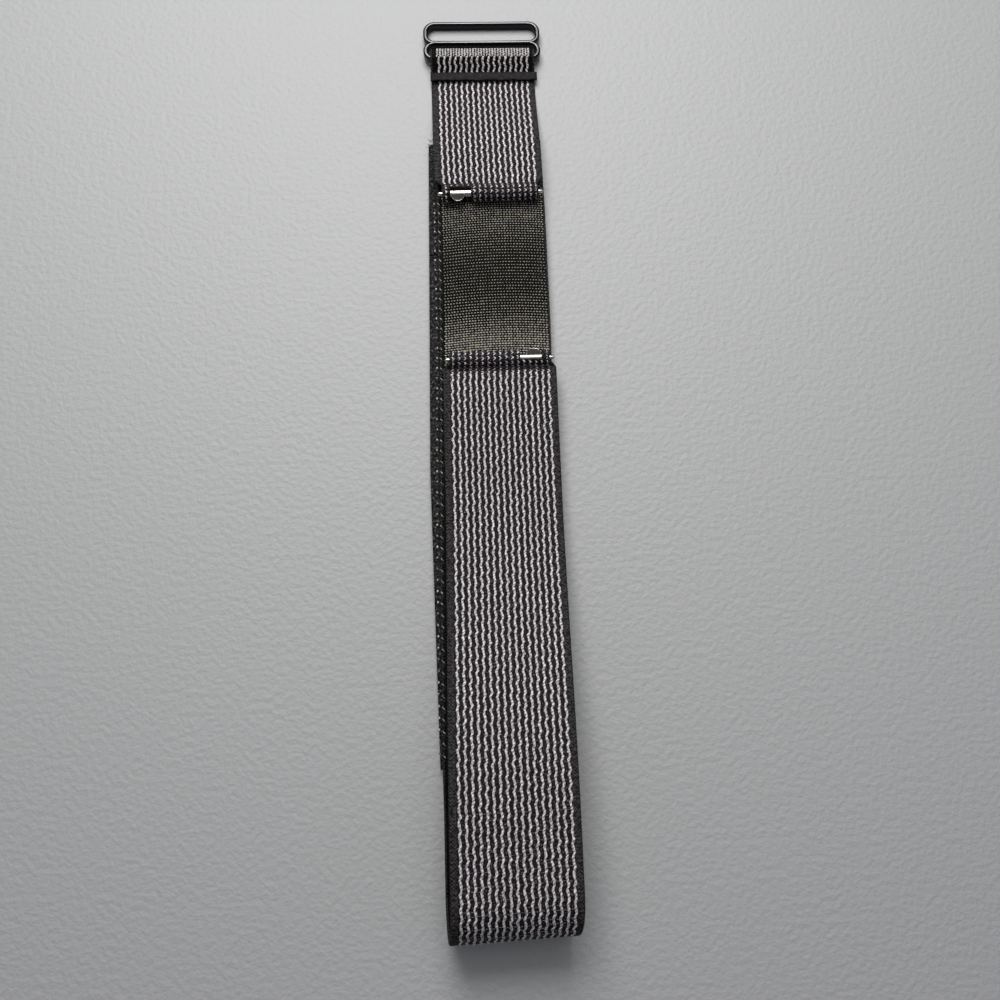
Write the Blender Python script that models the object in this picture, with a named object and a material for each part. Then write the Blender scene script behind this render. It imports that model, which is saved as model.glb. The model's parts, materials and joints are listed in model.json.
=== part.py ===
import math

import bmesh
import bpy
import numpy as np

# A woven nylon watch strap, lying folded on a table with its tail tucked under its two spring bars.
# Metres, +Z up. +Y runs from the fold towards the buckle, and +X is to the right, seen from above.
# The origin is on the flat underside of the tail's tape, midway between the two bars.

# Gaps between pieces
seat_gap = 0.0003
ply_gap = 0.0001
running_gap = 0.00005
cut_overrun = 0.0010

# Webbing
webbing_width = 0.0220
webbing_thickness = 0.00075
loop_width = 0.0194
loop_clearance = 0.00008
flap_length = 0.0080
groove_depth = 0.00015
groove_bend_radius = 0.0005
loop_fall_angle = math.radians(60)
groove_ramp = 0.0011
flap_ramp = 0.0055

# The two spring bars
bar_spacing = 0.0358
short_bar_x = -0.0007
long_bar_x = 0.0001
barrel_length = 0.0184
barrel_radius = 0.00075
bore_radius = 0.00055
barrel_edge = 0.00012
lip_length = 0.0003
tip_radius = 0.0004
tip_reach = 0.0014
tip_edge = 0.00012
shank_radius = bore_radius - running_gap
fixed_shank_length = 0.0016
plunger_travel = 0.0012
lever_inset = 0.0026
lever_width = 0.0026
lever_reach = 0.00195
lever_seat = 0.00012
stem_width = 0.0005
lever_thickness = 0.0004
stem_depth = 0.0004
window_margin = 0.0002
window_back = 0.0006
window_drop = 0.0009
spring_wire_radius = 0.00009
spring_pitch = 0.0007
plunger_inner_shank = 0.0010

# Tail, with its hook tape, loop tape and sewn edges
tail_tip_y = 0.0310
tail_seal_length = 0.0008
tape_width = 0.0239
tape_thickness = 0.0019
tape_joint_y = 0.0060
tape_end_y = -0.0948
tail_slope_length = 0.0085
tip_seal_gap = 0.0001
tape_centre_places = ((tail_tip_y, -0.0013), (0.0, -0.0016), (-0.0400, -0.0020), (tape_end_y, -0.0010))
seam_pitch = 0.0021
seam_width = 0.0012
seam_tip_margin = 0.0012
seam_outer_margin = 0.00055
right_seam_margin = 0.0008
thread_radius = 0.00011
thread_gap = 0.00006
climb_foot = 0.0002
climb_crest = 0.00006

# Fold and the front run above the tail
fold_start_y = -0.1155
fold_radius = 0.0067
low_run_height = 0.0042
fold_centre_x = -0.0015
tail_centre_places = (
    (tail_tip_y, -0.0010),
    (0.0160, -0.0007),
    (-0.0100, -0.0006),
    (-0.0600, -0.0013),
    (-0.1050, fold_centre_x),
)

# Short strap, from its bar to the buckle
short_centre_places = ((0.0179, -0.0007), (0.0220, -0.0010), (0.0300, -0.0012), (0.0450, -0.0015))
buckle_bar_y = 0.05085
wrap_clearance = 0.00006
tab_length = 0.0046
end_band_length = 0.0019
end_band_thickness = 0.0008
end_band_side = 0.0001

# Buckle
buckle_x = -0.0014
buckle_side_gap = 0.0003
buckle_thickness = 0.0018
buckle_bar_width = 0.0008
buckle_wall = 0.0010
strap_slot = 0.0033
free_slot = 0.00425
buckle_edge = 0.00022
buckle_floor_gap = 0.00004
slot_corner_radius = 0.00155
frame_corner_radius = 0.0024

# Facets
selvage_steps = 4
loop_step_angle = math.radians(15)
run_step = 0.0040
tape_step = 0.0080
fold_rings = 10
tail_rings = 30
slope_rings = 6
smooth_angle = math.radians(35)
tape_corner = 0.0002
lathe_segments = 24
spring_points = 8
thread_sides = 3
outline_steps = 14
corner_steps = 6

# Where the webbing's rings stand on the ramp beside a groove, as shares of its length
groove_ramp_shares = (0.35, 0.65, 1.0)

# Shares of the front run's length, where it leaves the tail and where it has risen
rise_start_share = 0.25
rise_end_share = 0.90

# Shares of the short run's length, where it starts down to the table and where it lies on it
slope_start_share = 0.28
slope_end_share = 0.80

# Heights and places that follow
tail_bottom = tape_thickness + ply_gap
tail_middle = tail_bottom + webbing_thickness / 2
tail_top = tail_bottom + webbing_thickness
loop_radius = barrel_radius + loop_clearance + webbing_thickness / 2
lever_place = barrel_length / 2 - lever_inset
tip_shoulder = barrel_length / 2 - lip_length - running_gap
bar_height = tail_top + seat_gap + loop_radius + webbing_thickness / 2
flap_height = bar_height - loop_radius
over_flap_height = flap_height + webbing_thickness + ply_gap
short_bar_y = bar_spacing / 2
long_bar_y = -bar_spacing / 2
fold_height = webbing_thickness / 2 + fold_radius
run_length = long_bar_y - fold_start_y
buckle_width = webbing_width + 2 * (buckle_side_gap + buckle_wall)
buckle_sweep = math.hypot(buckle_thickness / 2, buckle_bar_width / 2)
wrap_radius = buckle_sweep + wrap_clearance + webbing_thickness / 2
buckle_bar_height = wrap_radius + webbing_thickness / 2
short_run_length = buckle_bar_y - short_bar_y
tab_height = webbing_thickness + ply_gap + webbing_thickness / 2


def clear_scene():
    for obj in list(bpy.data.objects):
        bpy.data.objects.remove(obj, do_unlink=True)


def material(name, colour, roughness, metallic=0.0):
    made = bpy.data.materials.new(name)
    made.use_nodes = True
    shader = made.node_tree.nodes["Principled BSDF"]
    shader.inputs["Base Color"].default_value = (*colour, 1.0)
    shader.inputs["Roughness"].default_value = roughness
    shader.inputs["Metallic"].default_value = metallic
    made.diffuse_color = (*colour, 1.0)
    return made


# One object from points in world space, with its origin where it turns or slides.
def add_object(name, points, faces, finish, origin=(0.0, 0.0, 0.0)):
    mesh = bpy.data.meshes.new(name)
    local = np.asarray(points, float) - np.asarray(origin, float)
    mesh.from_pydata(local.tolist(), [], faces)
    work = bmesh.new()
    work.from_mesh(mesh)
    bmesh.ops.recalc_face_normals(work, faces=work.faces)
    work.to_mesh(mesh)
    work.free()
    mesh.materials.append(finish)
    mesh.shade_smooth()
    mesh.set_sharp_from_angle(angle=smooth_angle)
    obj = bpy.data.objects.new(name, mesh)
    obj.location = origin
    bpy.context.scene.collection.objects.link(obj)
    return obj


def add_cutter(name, low, high):
    xs, ys, zs = zip(low, high)
    points = [(x, y, z) for x in xs for y in ys for z in zs]
    faces = [(0, 1, 3, 2), (4, 6, 7, 5), (0, 4, 5, 1), (2, 3, 7, 6), (0, 2, 6, 4), (1, 5, 7, 3)]
    cutter = add_object(name, points, faces, bpy.data.materials[0])
    cutter.hide_render = True
    cutter.display_type = "WIRE"
    return cutter


def cut(obj, cutter):
    modifier = obj.modifiers.new("cut_" + cutter.name, "BOOLEAN")
    modifier.operation = "DIFFERENCE"
    modifier.solver = "EXACT"
    modifier.object = cutter


# Joins rings of equal length into a skin, with both ends capped.
def skin(rings):
    count = len(rings[0])
    points = [point for ring in rings for point in ring]
    faces = []
    for row in range(len(rings) - 1):
        for k in range(count):
            a = row * count + k
            b = row * count + (k + 1) % count
            faces.append((a, b, b + count, a + count))
    faces.append(tuple(range(count - 1, -1, -1)))
    faces.append(tuple(range((len(rings) - 1) * count, len(rings) * count)))
    return points, faces


def arc(centre, radius, start, end, step):
    count = max(2, math.ceil(abs(end - start) / step))
    angles = np.linspace(start, end, count + 1)
    return [(centre[0] + radius * math.cos(a), centre[1] + radius * math.sin(a)) for a in angles]


# Rises from 0 to 1 between start and end, level at both.
def smooth_share(value, start, end):
    share = min(1.0, max(0.0, (value - start) / (end - start)))
    return share * share * (3 - 2 * share)


def interpolated(value, places):
    ordered = sorted(places)
    return float(np.interp(value, [p[0] for p in ordered], [p[1] for p in ordered]))


# The webbing's section: flat faces and fully round selvages.
def webbing_section(width, thickness):
    half = thickness / 2
    flat = width / 2 - half
    section = []
    for k in range(selvage_steps + 1):
        angle = math.pi * (k / selvage_steps - 0.5)
        section.append((flat + half * math.cos(angle), half * math.sin(angle)))
    for k in range(selvage_steps + 1):
        angle = math.pi * (k / selvage_steps + 0.5)
        section.append((-flat + half * math.cos(angle), half * math.sin(angle)))
    return section


# Webbing swept along a path of (y, z) points, with a width and a centre for each.
def webbing(name, path, widths, centres, finish, origin=(0.0, 0.0, 0.0), depth=webbing_thickness):
    rings = []
    last = len(path) - 1
    for k, (y, z) in enumerate(path):
        before = path[max(k - 1, 0)]
        after = path[min(k + 1, last)]
        along = np.array([after[0] - before[0], after[1] - before[1]])
        along /= np.linalg.norm(along)
        section = webbing_section(widths[k], depth)
        rings.append([(centres[k] + u, y - along[1] * w, z + along[0] * w) for u, w in section])
    points, faces = skin(rings)
    return add_object(name, points, faces, finish, origin)


# A straight fall from a loop's crown, and the bend that levels it out, heading along +1 or -1.
def fall_and_bend(crown_end, level, heading):
    foot = crown_end[0] + heading * (crown_end[1] - level) / math.tan(loop_fall_angle)
    tangent = groove_bend_radius * math.tan(loop_fall_angle / 2)
    centre = (foot + heading * tangent, level + groove_bend_radius)
    down = math.radians(-90)
    return arc(centre, groove_bend_radius, down - heading * loop_fall_angle, down, loop_step_angle)


# From the flap's end round a bar and into the groove: (distance behind the bar, height) points.
def loop_path():
    flap = [(flap_length, flap_height), (flap_length / 2, flap_height)]
    last = math.radians(90) - loop_fall_angle
    turn = arc((0.0, bar_height), loop_radius, math.radians(270), last, loop_step_angle)
    return flap + turn + fall_and_bend(turn[-1], over_flap_height, 1)


# Round the buckle's bar from below and down to the tab, in the same terms.
def wrap_path():
    centre = (short_run_length, buckle_bar_height)
    last = math.radians(90) + loop_fall_angle
    wrap = arc(centre, wrap_radius, math.radians(-90), last, loop_step_angle)
    return wrap[1:] + fall_and_bend(wrap[-1], tab_height, -1)


# Heights of the upper ply behind a bar, before it leaves for the fold or the buckle.
def near_bar_height(distance, start):
    bump = groove_depth * smooth_share(distance, start, start + groove_ramp)
    return over_flap_height + bump


def width_behind_bar(distance, start):
    return loop_width + (webbing_width - loop_width) * smooth_share(distance, start, start + groove_ramp)


def run_distances(start, end):
    near = [start + groove_ramp * share for share in groove_ramp_shares]
    count = math.ceil((end - near[-1]) / run_step)
    return near + list(np.linspace(near[-1], end, count + 1)[1:])


# The long strap's loop and the run that rises to the fold.
def add_long_front(finish):
    path = loop_path()
    widths = [loop_width] * len(path)
    groove = path[-1][0]
    top = fold_height + fold_radius
    for distance in run_distances(groove, run_length - seat_gap):
        fallen = near_bar_height(distance, groove)
        settle = smooth_share(distance, flap_length, flap_length + flap_ramp)
        fallen += (low_run_height - fallen) * settle
        rise = smooth_share(distance, rise_start_share * run_length, rise_end_share * run_length)
        path.append((distance, fallen + (top - fallen) * rise))
        widths.append(width_behind_bar(distance, groove))
    world = [(long_bar_y - distance, height) for distance, height in path]
    hinge = fold_pivot(3 * math.pi / 4)
    obj = webbing("long_strap_front", world, widths, [0.0] * len(world), finish, (0.0, *hinge))
    cut(obj, window_cutter("long_window", long_bar_x, 1, long_bar_y, 1))


def fold_pivot(angle):
    return (fold_start_y - fold_radius * math.sin(angle), fold_height - fold_radius * math.cos(angle))


# A quarter of the fold, from one angle to the next, counted from where the tail turns up.
def add_fold(name, start, end, finish):
    joint = seat_gap / 2 / fold_radius
    angles = np.linspace(start + joint, end - joint, fold_rings)
    path = [fold_pivot(angle) for angle in angles]
    centres = [fold_centre(angle) for angle in angles]
    pivot = fold_pivot((start + end) / 2)
    webbing(name, path, [webbing_width] * len(path), centres, finish, (0.0, *pivot))


# The tail's centre line lies left of the front run's, and the fold leads from one to the other.
def fold_centre(angle):
    return fold_centre_x * (1 - smooth_share(angle, 0.0, math.pi))


def add_tail(finish):
    start = tail_tip_y - tail_seal_length - tip_seal_gap
    slope_end = tape_end_y - tail_slope_length
    level = list(np.linspace(start, tape_end_y - seat_gap, tail_rings))
    slope = list(np.linspace(tape_end_y - seat_gap, slope_end, slope_rings)[1:])
    places = level + slope + [(slope_end + fold_start_y) / 2, fold_start_y + seat_gap / 2]
    fall = tail_middle - webbing_thickness / 2
    path = [(y, tail_middle - fall * smooth_share(-y, -tape_end_y, -slope_end)) for y in places]
    centres = [interpolated(y, tail_centre_places) for y in places]
    webbing("long_strap_tail", path, [webbing_width] * len(path), centres, finish)


def add_tail_seal(finish):
    places = (tail_tip_y, tail_tip_y - tail_seal_length)
    centres = [interpolated(y, tail_centre_places) for y in places]
    path = [(y, tail_middle) for y in places]
    webbing("tail_end_seal", path, [webbing_width] * len(path), centres, finish)


# A flat tape under the tail, with small round corners.
def add_tape(name, start, end, finish):
    half = tape_thickness / 2
    count = math.ceil((start - end) / tape_step)
    rings = []
    for y in np.linspace(start, end, count + 1):
        x = interpolated(y, tape_centre_places)
        section = []
        for side, rise in ((1, -1), (1, 1), (-1, 1), (-1, -1)):
            corner = ((side, rise, tape_corner, 0.0), (side, rise, 0.0, tape_corner))
            if side == rise:
                corner = corner[::-1]
            for s, r, inset, level in corner:
                section.append((x + s * (tape_width / 2 - inset), y, half + r * (half - level)))
        rings.append(section)
    points, faces = skin(rings)
    add_object(name, points, faces, finish)


# A thread as a tube of few sides through a list of (x, y, z) points.
def thread(name, route, radius, finish):
    route = np.array(route)
    along = np.gradient(route, axis=0)
    along /= np.linalg.norm(along, axis=1)[:, None]
    rings = []
    for point, ahead in zip(route, along):
        side = np.cross(ahead, (0.0, 0.0, 1.0))
        side /= np.linalg.norm(side)
        up = np.cross(side, ahead)
        turns = [2 * math.pi * k / thread_sides + math.pi / 2 for k in range(thread_sides)]
        rings.append([tuple(point + radius * (math.cos(a) * side + math.sin(a) * up)) for a in turns])
    points, faces = skin(rings)
    add_object(name, points, faces, finish)


# The left seam steps over the webbing's selvage, from the tape to the webbing and back.
def add_left_seam(finish):
    low = tape_thickness + thread_gap + thread_radius
    high = tail_top + thread_gap + thread_radius
    middle = (low + high) / 2
    leg = ((-seam_outer_margin, low), (-climb_foot, middle), (climb_crest, high))
    turn = (seam_width - seam_outer_margin, high)
    route = []
    periods = math.floor((tail_tip_y - tape_end_y - 2 * seam_tip_margin) / seam_pitch)
    for k in range(periods):
        start = tail_tip_y - seam_tip_margin - k * seam_pitch
        for out, height in leg:
            y = start - (out + seam_outer_margin) / seam_width * seam_pitch / 2
            route.append((left_edge(y) + out, y, height))
        y = start - seam_pitch / 2
        route.append((left_edge(y) + turn[0], y, turn[1]))
        for out, height in reversed(leg[1:]):
            y = start - seam_pitch + (out + seam_outer_margin) / seam_width * seam_pitch / 2
            route.append((left_edge(y) + out, y, height))
    thread("tail_seam_left", route, thread_radius, finish)


def left_edge(y):
    return interpolated(y, tail_centre_places) - webbing_width / 2


def add_right_seam(finish):
    high = tail_top + thread_gap + thread_radius
    length = tail_tip_y - seam_tip_margin - tape_end_y - seam_tip_margin
    steps = 2 * math.floor(length / seam_pitch)
    route = []
    for k in range(steps + 1):
        y = tail_tip_y - seam_tip_margin - k * seam_pitch / 2
        edge = interpolated(y, tail_centre_places) + webbing_width / 2 - right_seam_margin
        route.append((edge - seam_width * (k % 2), y, high))
    thread("tail_seam_right", route, thread_radius, finish)


# The seam that closes a loop, lying in its groove.
def add_groove_seam(name, centre, y, level, width, finish):
    count = math.floor(width / seam_width)
    half = count * seam_width / 2
    route = []
    for k in range(2 * count + 1):
        lift = thread_radius if k % 2 else 0.0
        route.append((centre - half + k * seam_width / 2, y, level + thread_gap + thread_radius + lift))
    thread(name, route, thread_radius, finish)


def window_cutter(name, bar_x, end, bar_y, gap_side):
    middle = bar_x + end * (lever_place - plunger_travel / 2)
    half = (lever_width + plunger_travel) / 2 + window_margin
    reach = loop_radius + webbing_thickness / 2 + cut_overrun
    ys = sorted((bar_y - gap_side * window_back, bar_y + gap_side * reach))
    top = bar_height + loop_radius + webbing_thickness / 2 + cut_overrun
    low = (middle - half, ys[0], bar_height - window_drop)
    high = (middle + half, ys[1], top)
    return add_cutter(name, low, high)


def add_short_strap(finish):
    path = loop_path()
    widths = [loop_width] * len(path)
    groove = path[-1][0]
    floor_level = webbing_thickness / 2
    slope = (slope_start_share * short_run_length, slope_end_share * short_run_length)
    for distance in run_distances(groove, short_run_length):
        level = near_bar_height(distance, groove)
        fall = smooth_share(distance, *slope)
        path.append((distance, level + (floor_level - level) * fall))
        widths.append(width_behind_bar(distance, groove))
    tab_end = short_run_length - tab_length + end_band_length + ply_gap
    path += wrap_path() + [(tab_end, tab_height)]
    widths += [webbing_width] * (len(path) - len(widths))
    world = [(short_bar_y + distance, height) for distance, height in path]
    centres = [interpolated(y, short_centre_places) for y, z in world]
    obj = webbing("short_strap_webbing", world, widths, centres, finish)
    cut(obj, window_cutter("short_window", short_bar_x, -1, short_bar_y, -1))


def add_end_band(finish):
    start = buckle_bar_y - tab_length + end_band_length
    end = buckle_bar_y - tab_length
    centres = [interpolated(y, short_centre_places) for y in (start, end)]
    path = [(start, tab_height), (end, tab_height)]
    widths = [webbing_width + end_band_side] * 2
    webbing("short_strap_end_band", path, widths, centres, finish, depth=end_band_thickness)


# Half width at a distance from the middle of a rectangle with round corners, or zero outside it.
def rounded_reach(offset, half_width, half_height, radius):
    over = abs(offset) - (half_height - radius)
    if over <= 0:
        return half_width
    if over > radius:
        return 0.0
    return half_width - radius + math.sqrt(max(0.0, radius * radius - over * over))


def rounded_outline(half_width, middle, half_height, radius):
    corners = ((1, -1, -90), (1, 1, 0), (-1, 1, 90), (-1, -1, 180))
    outline = []
    for side, rise, start in corners:
        centre = (side * (half_width - radius), middle + rise * (half_height - radius))
        begin = math.radians(start)
        outline += arc(centre, radius, begin, begin + math.pi / 2, math.pi / 2 / corner_steps)
    return outline


# Two rings with round corners side by side, sharing the bar between them, seen along the frame's normal.
def add_buckle(finish):
    half = buckle_width / 2
    near_height = (strap_slot + 2 * buckle_bar_width) / 2
    far_height = (free_slot + 2 * buckle_bar_width) / 2
    near_middle = (strap_slot + buckle_bar_width) / 2
    far_middle = near_middle + near_height + far_height - buckle_bar_width
    low = near_middle - near_height
    high = far_middle + far_height
    right = []
    for k in range(4 * outline_steps + 1):
        y = low + (high - low) * (1 - math.cos(math.pi * k / (4 * outline_steps))) / 2
        near = rounded_reach(y - near_middle, half, near_height, frame_corner_radius)
        far = rounded_reach(y - far_middle, half, far_height, frame_corner_radius)
        right.append((max(near, far), y))
    outline = right + [(-x, y) for x, y in reversed(right)]
    slot_half = half - buckle_wall
    near_slot = rounded_outline(slot_half, near_middle, strap_slot / 2, slot_corner_radius)
    far_slot = rounded_outline(slot_half, far_middle, free_slot / 2, slot_corner_radius)
    curve = bpy.data.curves.new("buckle_frame", "CURVE")
    curve.dimensions = "2D"
    curve.fill_mode = "BOTH"
    for ring in (outline, near_slot, far_slot):
        spline = curve.splines.new("POLY")
        spline.points.add(len(ring) - 1)
        for point, (x, y) in zip(spline.points, ring):
            point.co = (x, y, 0.0, 1.0)
        spline.use_cyclic_u = True
    curve.bevel_depth = buckle_edge
    curve.bevel_resolution = 0
    curve.offset = -buckle_edge
    curve.extrude = buckle_thickness / 2 - buckle_edge
    curve.materials.append(finish)
    obj = bpy.data.objects.new("buckle_frame", curve)
    obj.location = (buckle_x, buckle_bar_y, buckle_bar_height)
    obj.rotation_euler = (-buckle_tilt(high), 0.0, 0.0)
    bpy.context.scene.collection.objects.link(obj)


# The tilt at which the frame's far lower edge comes down to the table.
def buckle_tilt(reach):
    drop = buckle_bar_height - buckle_floor_gap
    lean = math.atan2(buckle_thickness / 2, reach)
    return math.asin(drop / math.hypot(reach, buckle_thickness / 2)) - lean


# A turned piece along X, from a profile of (distance along, radius) points. A radius of zero closes an end.
def turned(profile, centre, end, closed):
    points = []
    rings = []
    for along, radius in profile:
        first = len(points)
        x = centre[0] + end * along
        if radius == 0:
            points.append((x, centre[1], centre[2]))
            rings.append([first] * lathe_segments)
            continue
        for k in range(lathe_segments):
            turn = 2 * math.pi * k / lathe_segments
            points.append((x, centre[1] + radius * math.cos(turn), centre[2] + radius * math.sin(turn)))
        rings.append(list(range(first, first + lathe_segments)))
    faces = []
    pairs = list(zip(rings, rings[1:]))
    if closed:
        pairs.append((rings[-1], rings[0]))
    for one, two in pairs:
        for k in range(lathe_segments):
            j = (k + 1) % lathe_segments
            corners = dict.fromkeys((one[k], one[j], two[j], two[k]))
            faces.append(tuple(corners))
    return points, faces


def add_barrel(prefix, centre, end, gap_side, finish):
    half = barrel_length / 2
    lip = half - lip_length
    throat = tip_radius + running_gap
    outer = [(-half, throat), (-half, barrel_radius - barrel_edge), (-half + barrel_edge, barrel_radius)]
    outer += [(-x, radius) for x, radius in reversed(outer)]
    inner = [(lip, throat), (lip, bore_radius), (-lip, bore_radius), (-lip, throat)]
    points, faces = turned(outer + inner, centre, end, True)
    obj = add_object(prefix + "_barrel", points, faces, finish, centre)
    slot_inner = lever_place - plunger_travel - stem_width / 2 - running_gap * 2
    slot_outer = lever_place + stem_width / 2 + running_gap * 2
    xs = sorted((centre[0] + end * slot_inner, centre[0] + end * slot_outer))
    ys = sorted((centre[1], centre[1] + gap_side * (barrel_radius + cut_overrun)))
    rise = lever_thickness / 2 + running_gap
    low = (xs[0], ys[0], centre[2] - rise)
    high = (xs[1], ys[1], centre[2] + rise)
    cut(obj, add_cutter(prefix + "_slot", low, high))


# A tip whose shoulder seats behind the barrel's rolled lip, with its shank inside the barrel.
def tip_profile(inner):
    outside = barrel_length / 2 + tip_reach
    nose = [(outside, 0.0), (outside, tip_radius - tip_edge), (outside - tip_edge, tip_radius)]
    shank = [(tip_shoulder, tip_radius), (tip_shoulder, shank_radius), (inner, shank_radius), (inner, 0.0)]
    return nose + shank


# The sliding tip's shank holds the lever's stem.
def add_sliding_tip(prefix, centre, end, gap_side, finish):
    points, faces = turned(tip_profile(lever_place - plunger_inner_shank), centre, end, False)
    obj = add_object(prefix + "_sliding_tip", points, faces, finish, centre)
    xs = sorted(centre[0] + end * (lever_place + s * (stem_width / 2 + running_gap)) for s in (-1, 1))
    foot = shank_radius - stem_depth - running_gap
    ys = sorted((centre[1] + gap_side * foot, centre[1] + gap_side * (shank_radius + cut_overrun)))
    rise = lever_thickness / 2 + running_gap
    low = (xs[0], ys[0], centre[2] - rise)
    high = (xs[1], ys[1], centre[2] + rise)
    cut(obj, add_cutter(prefix + "_stem_seat", low, high))


def add_fixed_tip(prefix, centre, end, finish):
    points, faces = turned(tip_profile(tip_shoulder - fixed_shank_length), centre, -end, False)
    add_object(prefix + "_fixed_tip", points, faces, finish, centre)


# A flat thumb plate with a round front, and the stem that reaches through the slot into the sliding tip.
def add_lever(prefix, centre, end, gap_side, finish):
    back = barrel_radius + lever_seat
    depth = lever_reach - back
    half = lever_width / 2
    outline = []
    for k in range(outline_steps + 1):
        turn = math.pi * k / outline_steps
        outline.append((half * math.cos(turn), back + depth * math.sin(turn)))
    foot = shank_radius - stem_depth
    stem = stem_width / 2
    outline += [(-stem, back), (-stem, foot), (stem, foot), (stem, back)]
    x = centre[0] + end * lever_place
    count = len(outline)
    points = []
    for side in (-1, 1):
        level = centre[2] + side * lever_thickness / 2
        points += [(x + u, centre[1] + gap_side * v, level) for u, v in outline]
    faces = [(k, (k + 1) % count, (k + 1) % count + count, k + count) for k in range(count)]
    faces += [tuple(range(count - 1, -1, -1)), tuple(range(count, 2 * count))]
    add_object(prefix + "_release_lever", points, faces, finish, centre)


def add_spring(prefix, centre, end, finish):
    start = fixed_shank_length - tip_shoulder + spring_wire_radius + running_gap
    stop = lever_place - plunger_inner_shank - spring_wire_radius - running_gap
    turns = round((stop - start) / spring_pitch)
    mean = shank_radius - spring_wire_radius
    count = turns * spring_points
    route = []
    for k in range(count + 1):
        turn = 2 * math.pi * k / spring_points
        along = start + (stop - start) * k / count
        coil = (mean * math.cos(turn), mean * math.sin(turn))
        route.append((centre[0] + end * along, centre[1] + coil[0], centre[2] + coil[1]))
    least = (stop - start) / turns - 2 * spring_wire_radius
    print(prefix, "spring: least gap between turns", round(least * 1000, 3), "mm")
    thread(prefix + "_coil_spring", route, spring_wire_radius, finish)


def add_bar(prefix, x, y, end, gap_side, steel, dark):
    centre = (x, y, bar_height)
    add_barrel(prefix, centre, end, gap_side, steel)
    add_sliding_tip(prefix, centre, end, gap_side, steel)
    add_fixed_tip(prefix, centre, end, steel)
    add_lever(prefix, centre, end, gap_side, dark)
    add_spring(prefix, centre, end, steel)


clear_scene()
woven = material("woven_nylon", (0.13, 0.12, 0.125), 0.85)
inner_face = material("woven_nylon_inner", (0.045, 0.043, 0.036), 0.88)
hook_pile = material("hook_tape", (0.012, 0.012, 0.013), 0.95)
loop_pile = material("loop_tape", (0.014, 0.014, 0.016), 0.95)
fused = material("fused_nylon", (0.02, 0.02, 0.022), 0.6)
sewing = material("sewing_thread", (0.03, 0.03, 0.032), 0.7)
gunmetal = material("dark_plated_metal", (0.12, 0.12, 0.125), 0.28, 1.0)
steel = material("bright_steel", (0.62, 0.6, 0.57), 0.22, 1.0)

add_tape("hook_tape", tail_tip_y, tape_joint_y, hook_pile)
add_tape("loop_tape", tape_joint_y - seat_gap, tape_end_y, loop_pile)
add_tail(inner_face)
add_tail_seal(fused)
add_left_seam(sewing)
add_right_seam(sewing)
add_fold("long_strap_fold_lower", 0.0, math.pi / 2, woven)
add_fold("long_strap_fold_upper", math.pi / 2, math.pi, woven)
add_long_front(woven)
add_short_strap(woven)
add_end_band(fused)
add_buckle(gunmetal)
add_bar("short_bar", short_bar_x, short_bar_y, -1, -1, steel, gunmetal)
add_bar("long_bar", long_bar_x, long_bar_y, 1, 1, steel, gunmetal)
groove_y = loop_path()[-1][0]
over_groove = over_flap_height + webbing_thickness / 2
add_groove_seam("short_bar_loop_seam", short_bar_x, short_bar_y + groove_y, over_groove, loop_width, sewing)
add_groove_seam("long_bar_loop_seam", long_bar_x, long_bar_y - groove_y, over_groove, loop_width, sewing)
seam_y = short_bar_y + wrap_path()[-1][0]
seam_level = tab_height + webbing_thickness / 2
add_groove_seam("buckle_loop_seam", short_centre_places[-1][1], seam_y, seam_level, loop_width, sewing)
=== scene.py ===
import json
import math

import bpy
import numpy as np
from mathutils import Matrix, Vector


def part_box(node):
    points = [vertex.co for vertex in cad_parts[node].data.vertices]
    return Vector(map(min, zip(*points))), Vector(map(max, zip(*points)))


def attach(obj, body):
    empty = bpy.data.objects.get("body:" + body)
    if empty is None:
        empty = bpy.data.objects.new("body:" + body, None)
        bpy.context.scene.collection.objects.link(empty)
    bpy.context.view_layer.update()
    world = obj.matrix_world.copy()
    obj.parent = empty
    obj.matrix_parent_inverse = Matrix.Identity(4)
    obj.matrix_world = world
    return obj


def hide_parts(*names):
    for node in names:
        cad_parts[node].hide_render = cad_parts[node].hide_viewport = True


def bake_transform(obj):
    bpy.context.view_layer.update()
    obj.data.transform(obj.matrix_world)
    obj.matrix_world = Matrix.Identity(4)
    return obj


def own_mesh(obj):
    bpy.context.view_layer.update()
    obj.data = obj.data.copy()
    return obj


# A woven nylon watch strap, folded on a pale table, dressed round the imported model.
# Shapes are worked out in millimetres and go into meshes in metres.

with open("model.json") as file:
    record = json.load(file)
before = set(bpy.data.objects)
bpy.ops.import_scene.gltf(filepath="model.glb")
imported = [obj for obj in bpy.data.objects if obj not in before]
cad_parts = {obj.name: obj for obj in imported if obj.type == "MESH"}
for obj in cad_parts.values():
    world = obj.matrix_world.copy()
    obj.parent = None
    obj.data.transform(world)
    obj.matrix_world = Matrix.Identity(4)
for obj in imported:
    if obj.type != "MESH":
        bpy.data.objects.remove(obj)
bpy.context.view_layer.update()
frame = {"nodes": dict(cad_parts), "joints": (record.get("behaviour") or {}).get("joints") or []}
mm = 0.001
jointAt = {j["name"]: np.array(j["pos_m"]) / mm for j in frame["joints"] if "pos_m" in j}
longBar, shortBar, buckleBar = (jointAt[k] for k in ("long_bar_swivel", "short_bar_swivel", "buckle_swing"))


def boxOf(node):
    return [np.array(corner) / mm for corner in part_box(node)]


def dress(piece, node=None, body=None, blend=None):
    # the solid that a piece stands in for, which is hidden, the body it rides on, or a bend, where the piece is only
    # baked in place
    if node:
        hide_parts(node)
    if body:
        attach(piece, body)
    if blend:
        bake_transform(piece)


def addObject(name, data):
    made = bpy.data.objects.new(name, data)
    bpy.context.scene.collection.objects.link(made)
    return made


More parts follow.
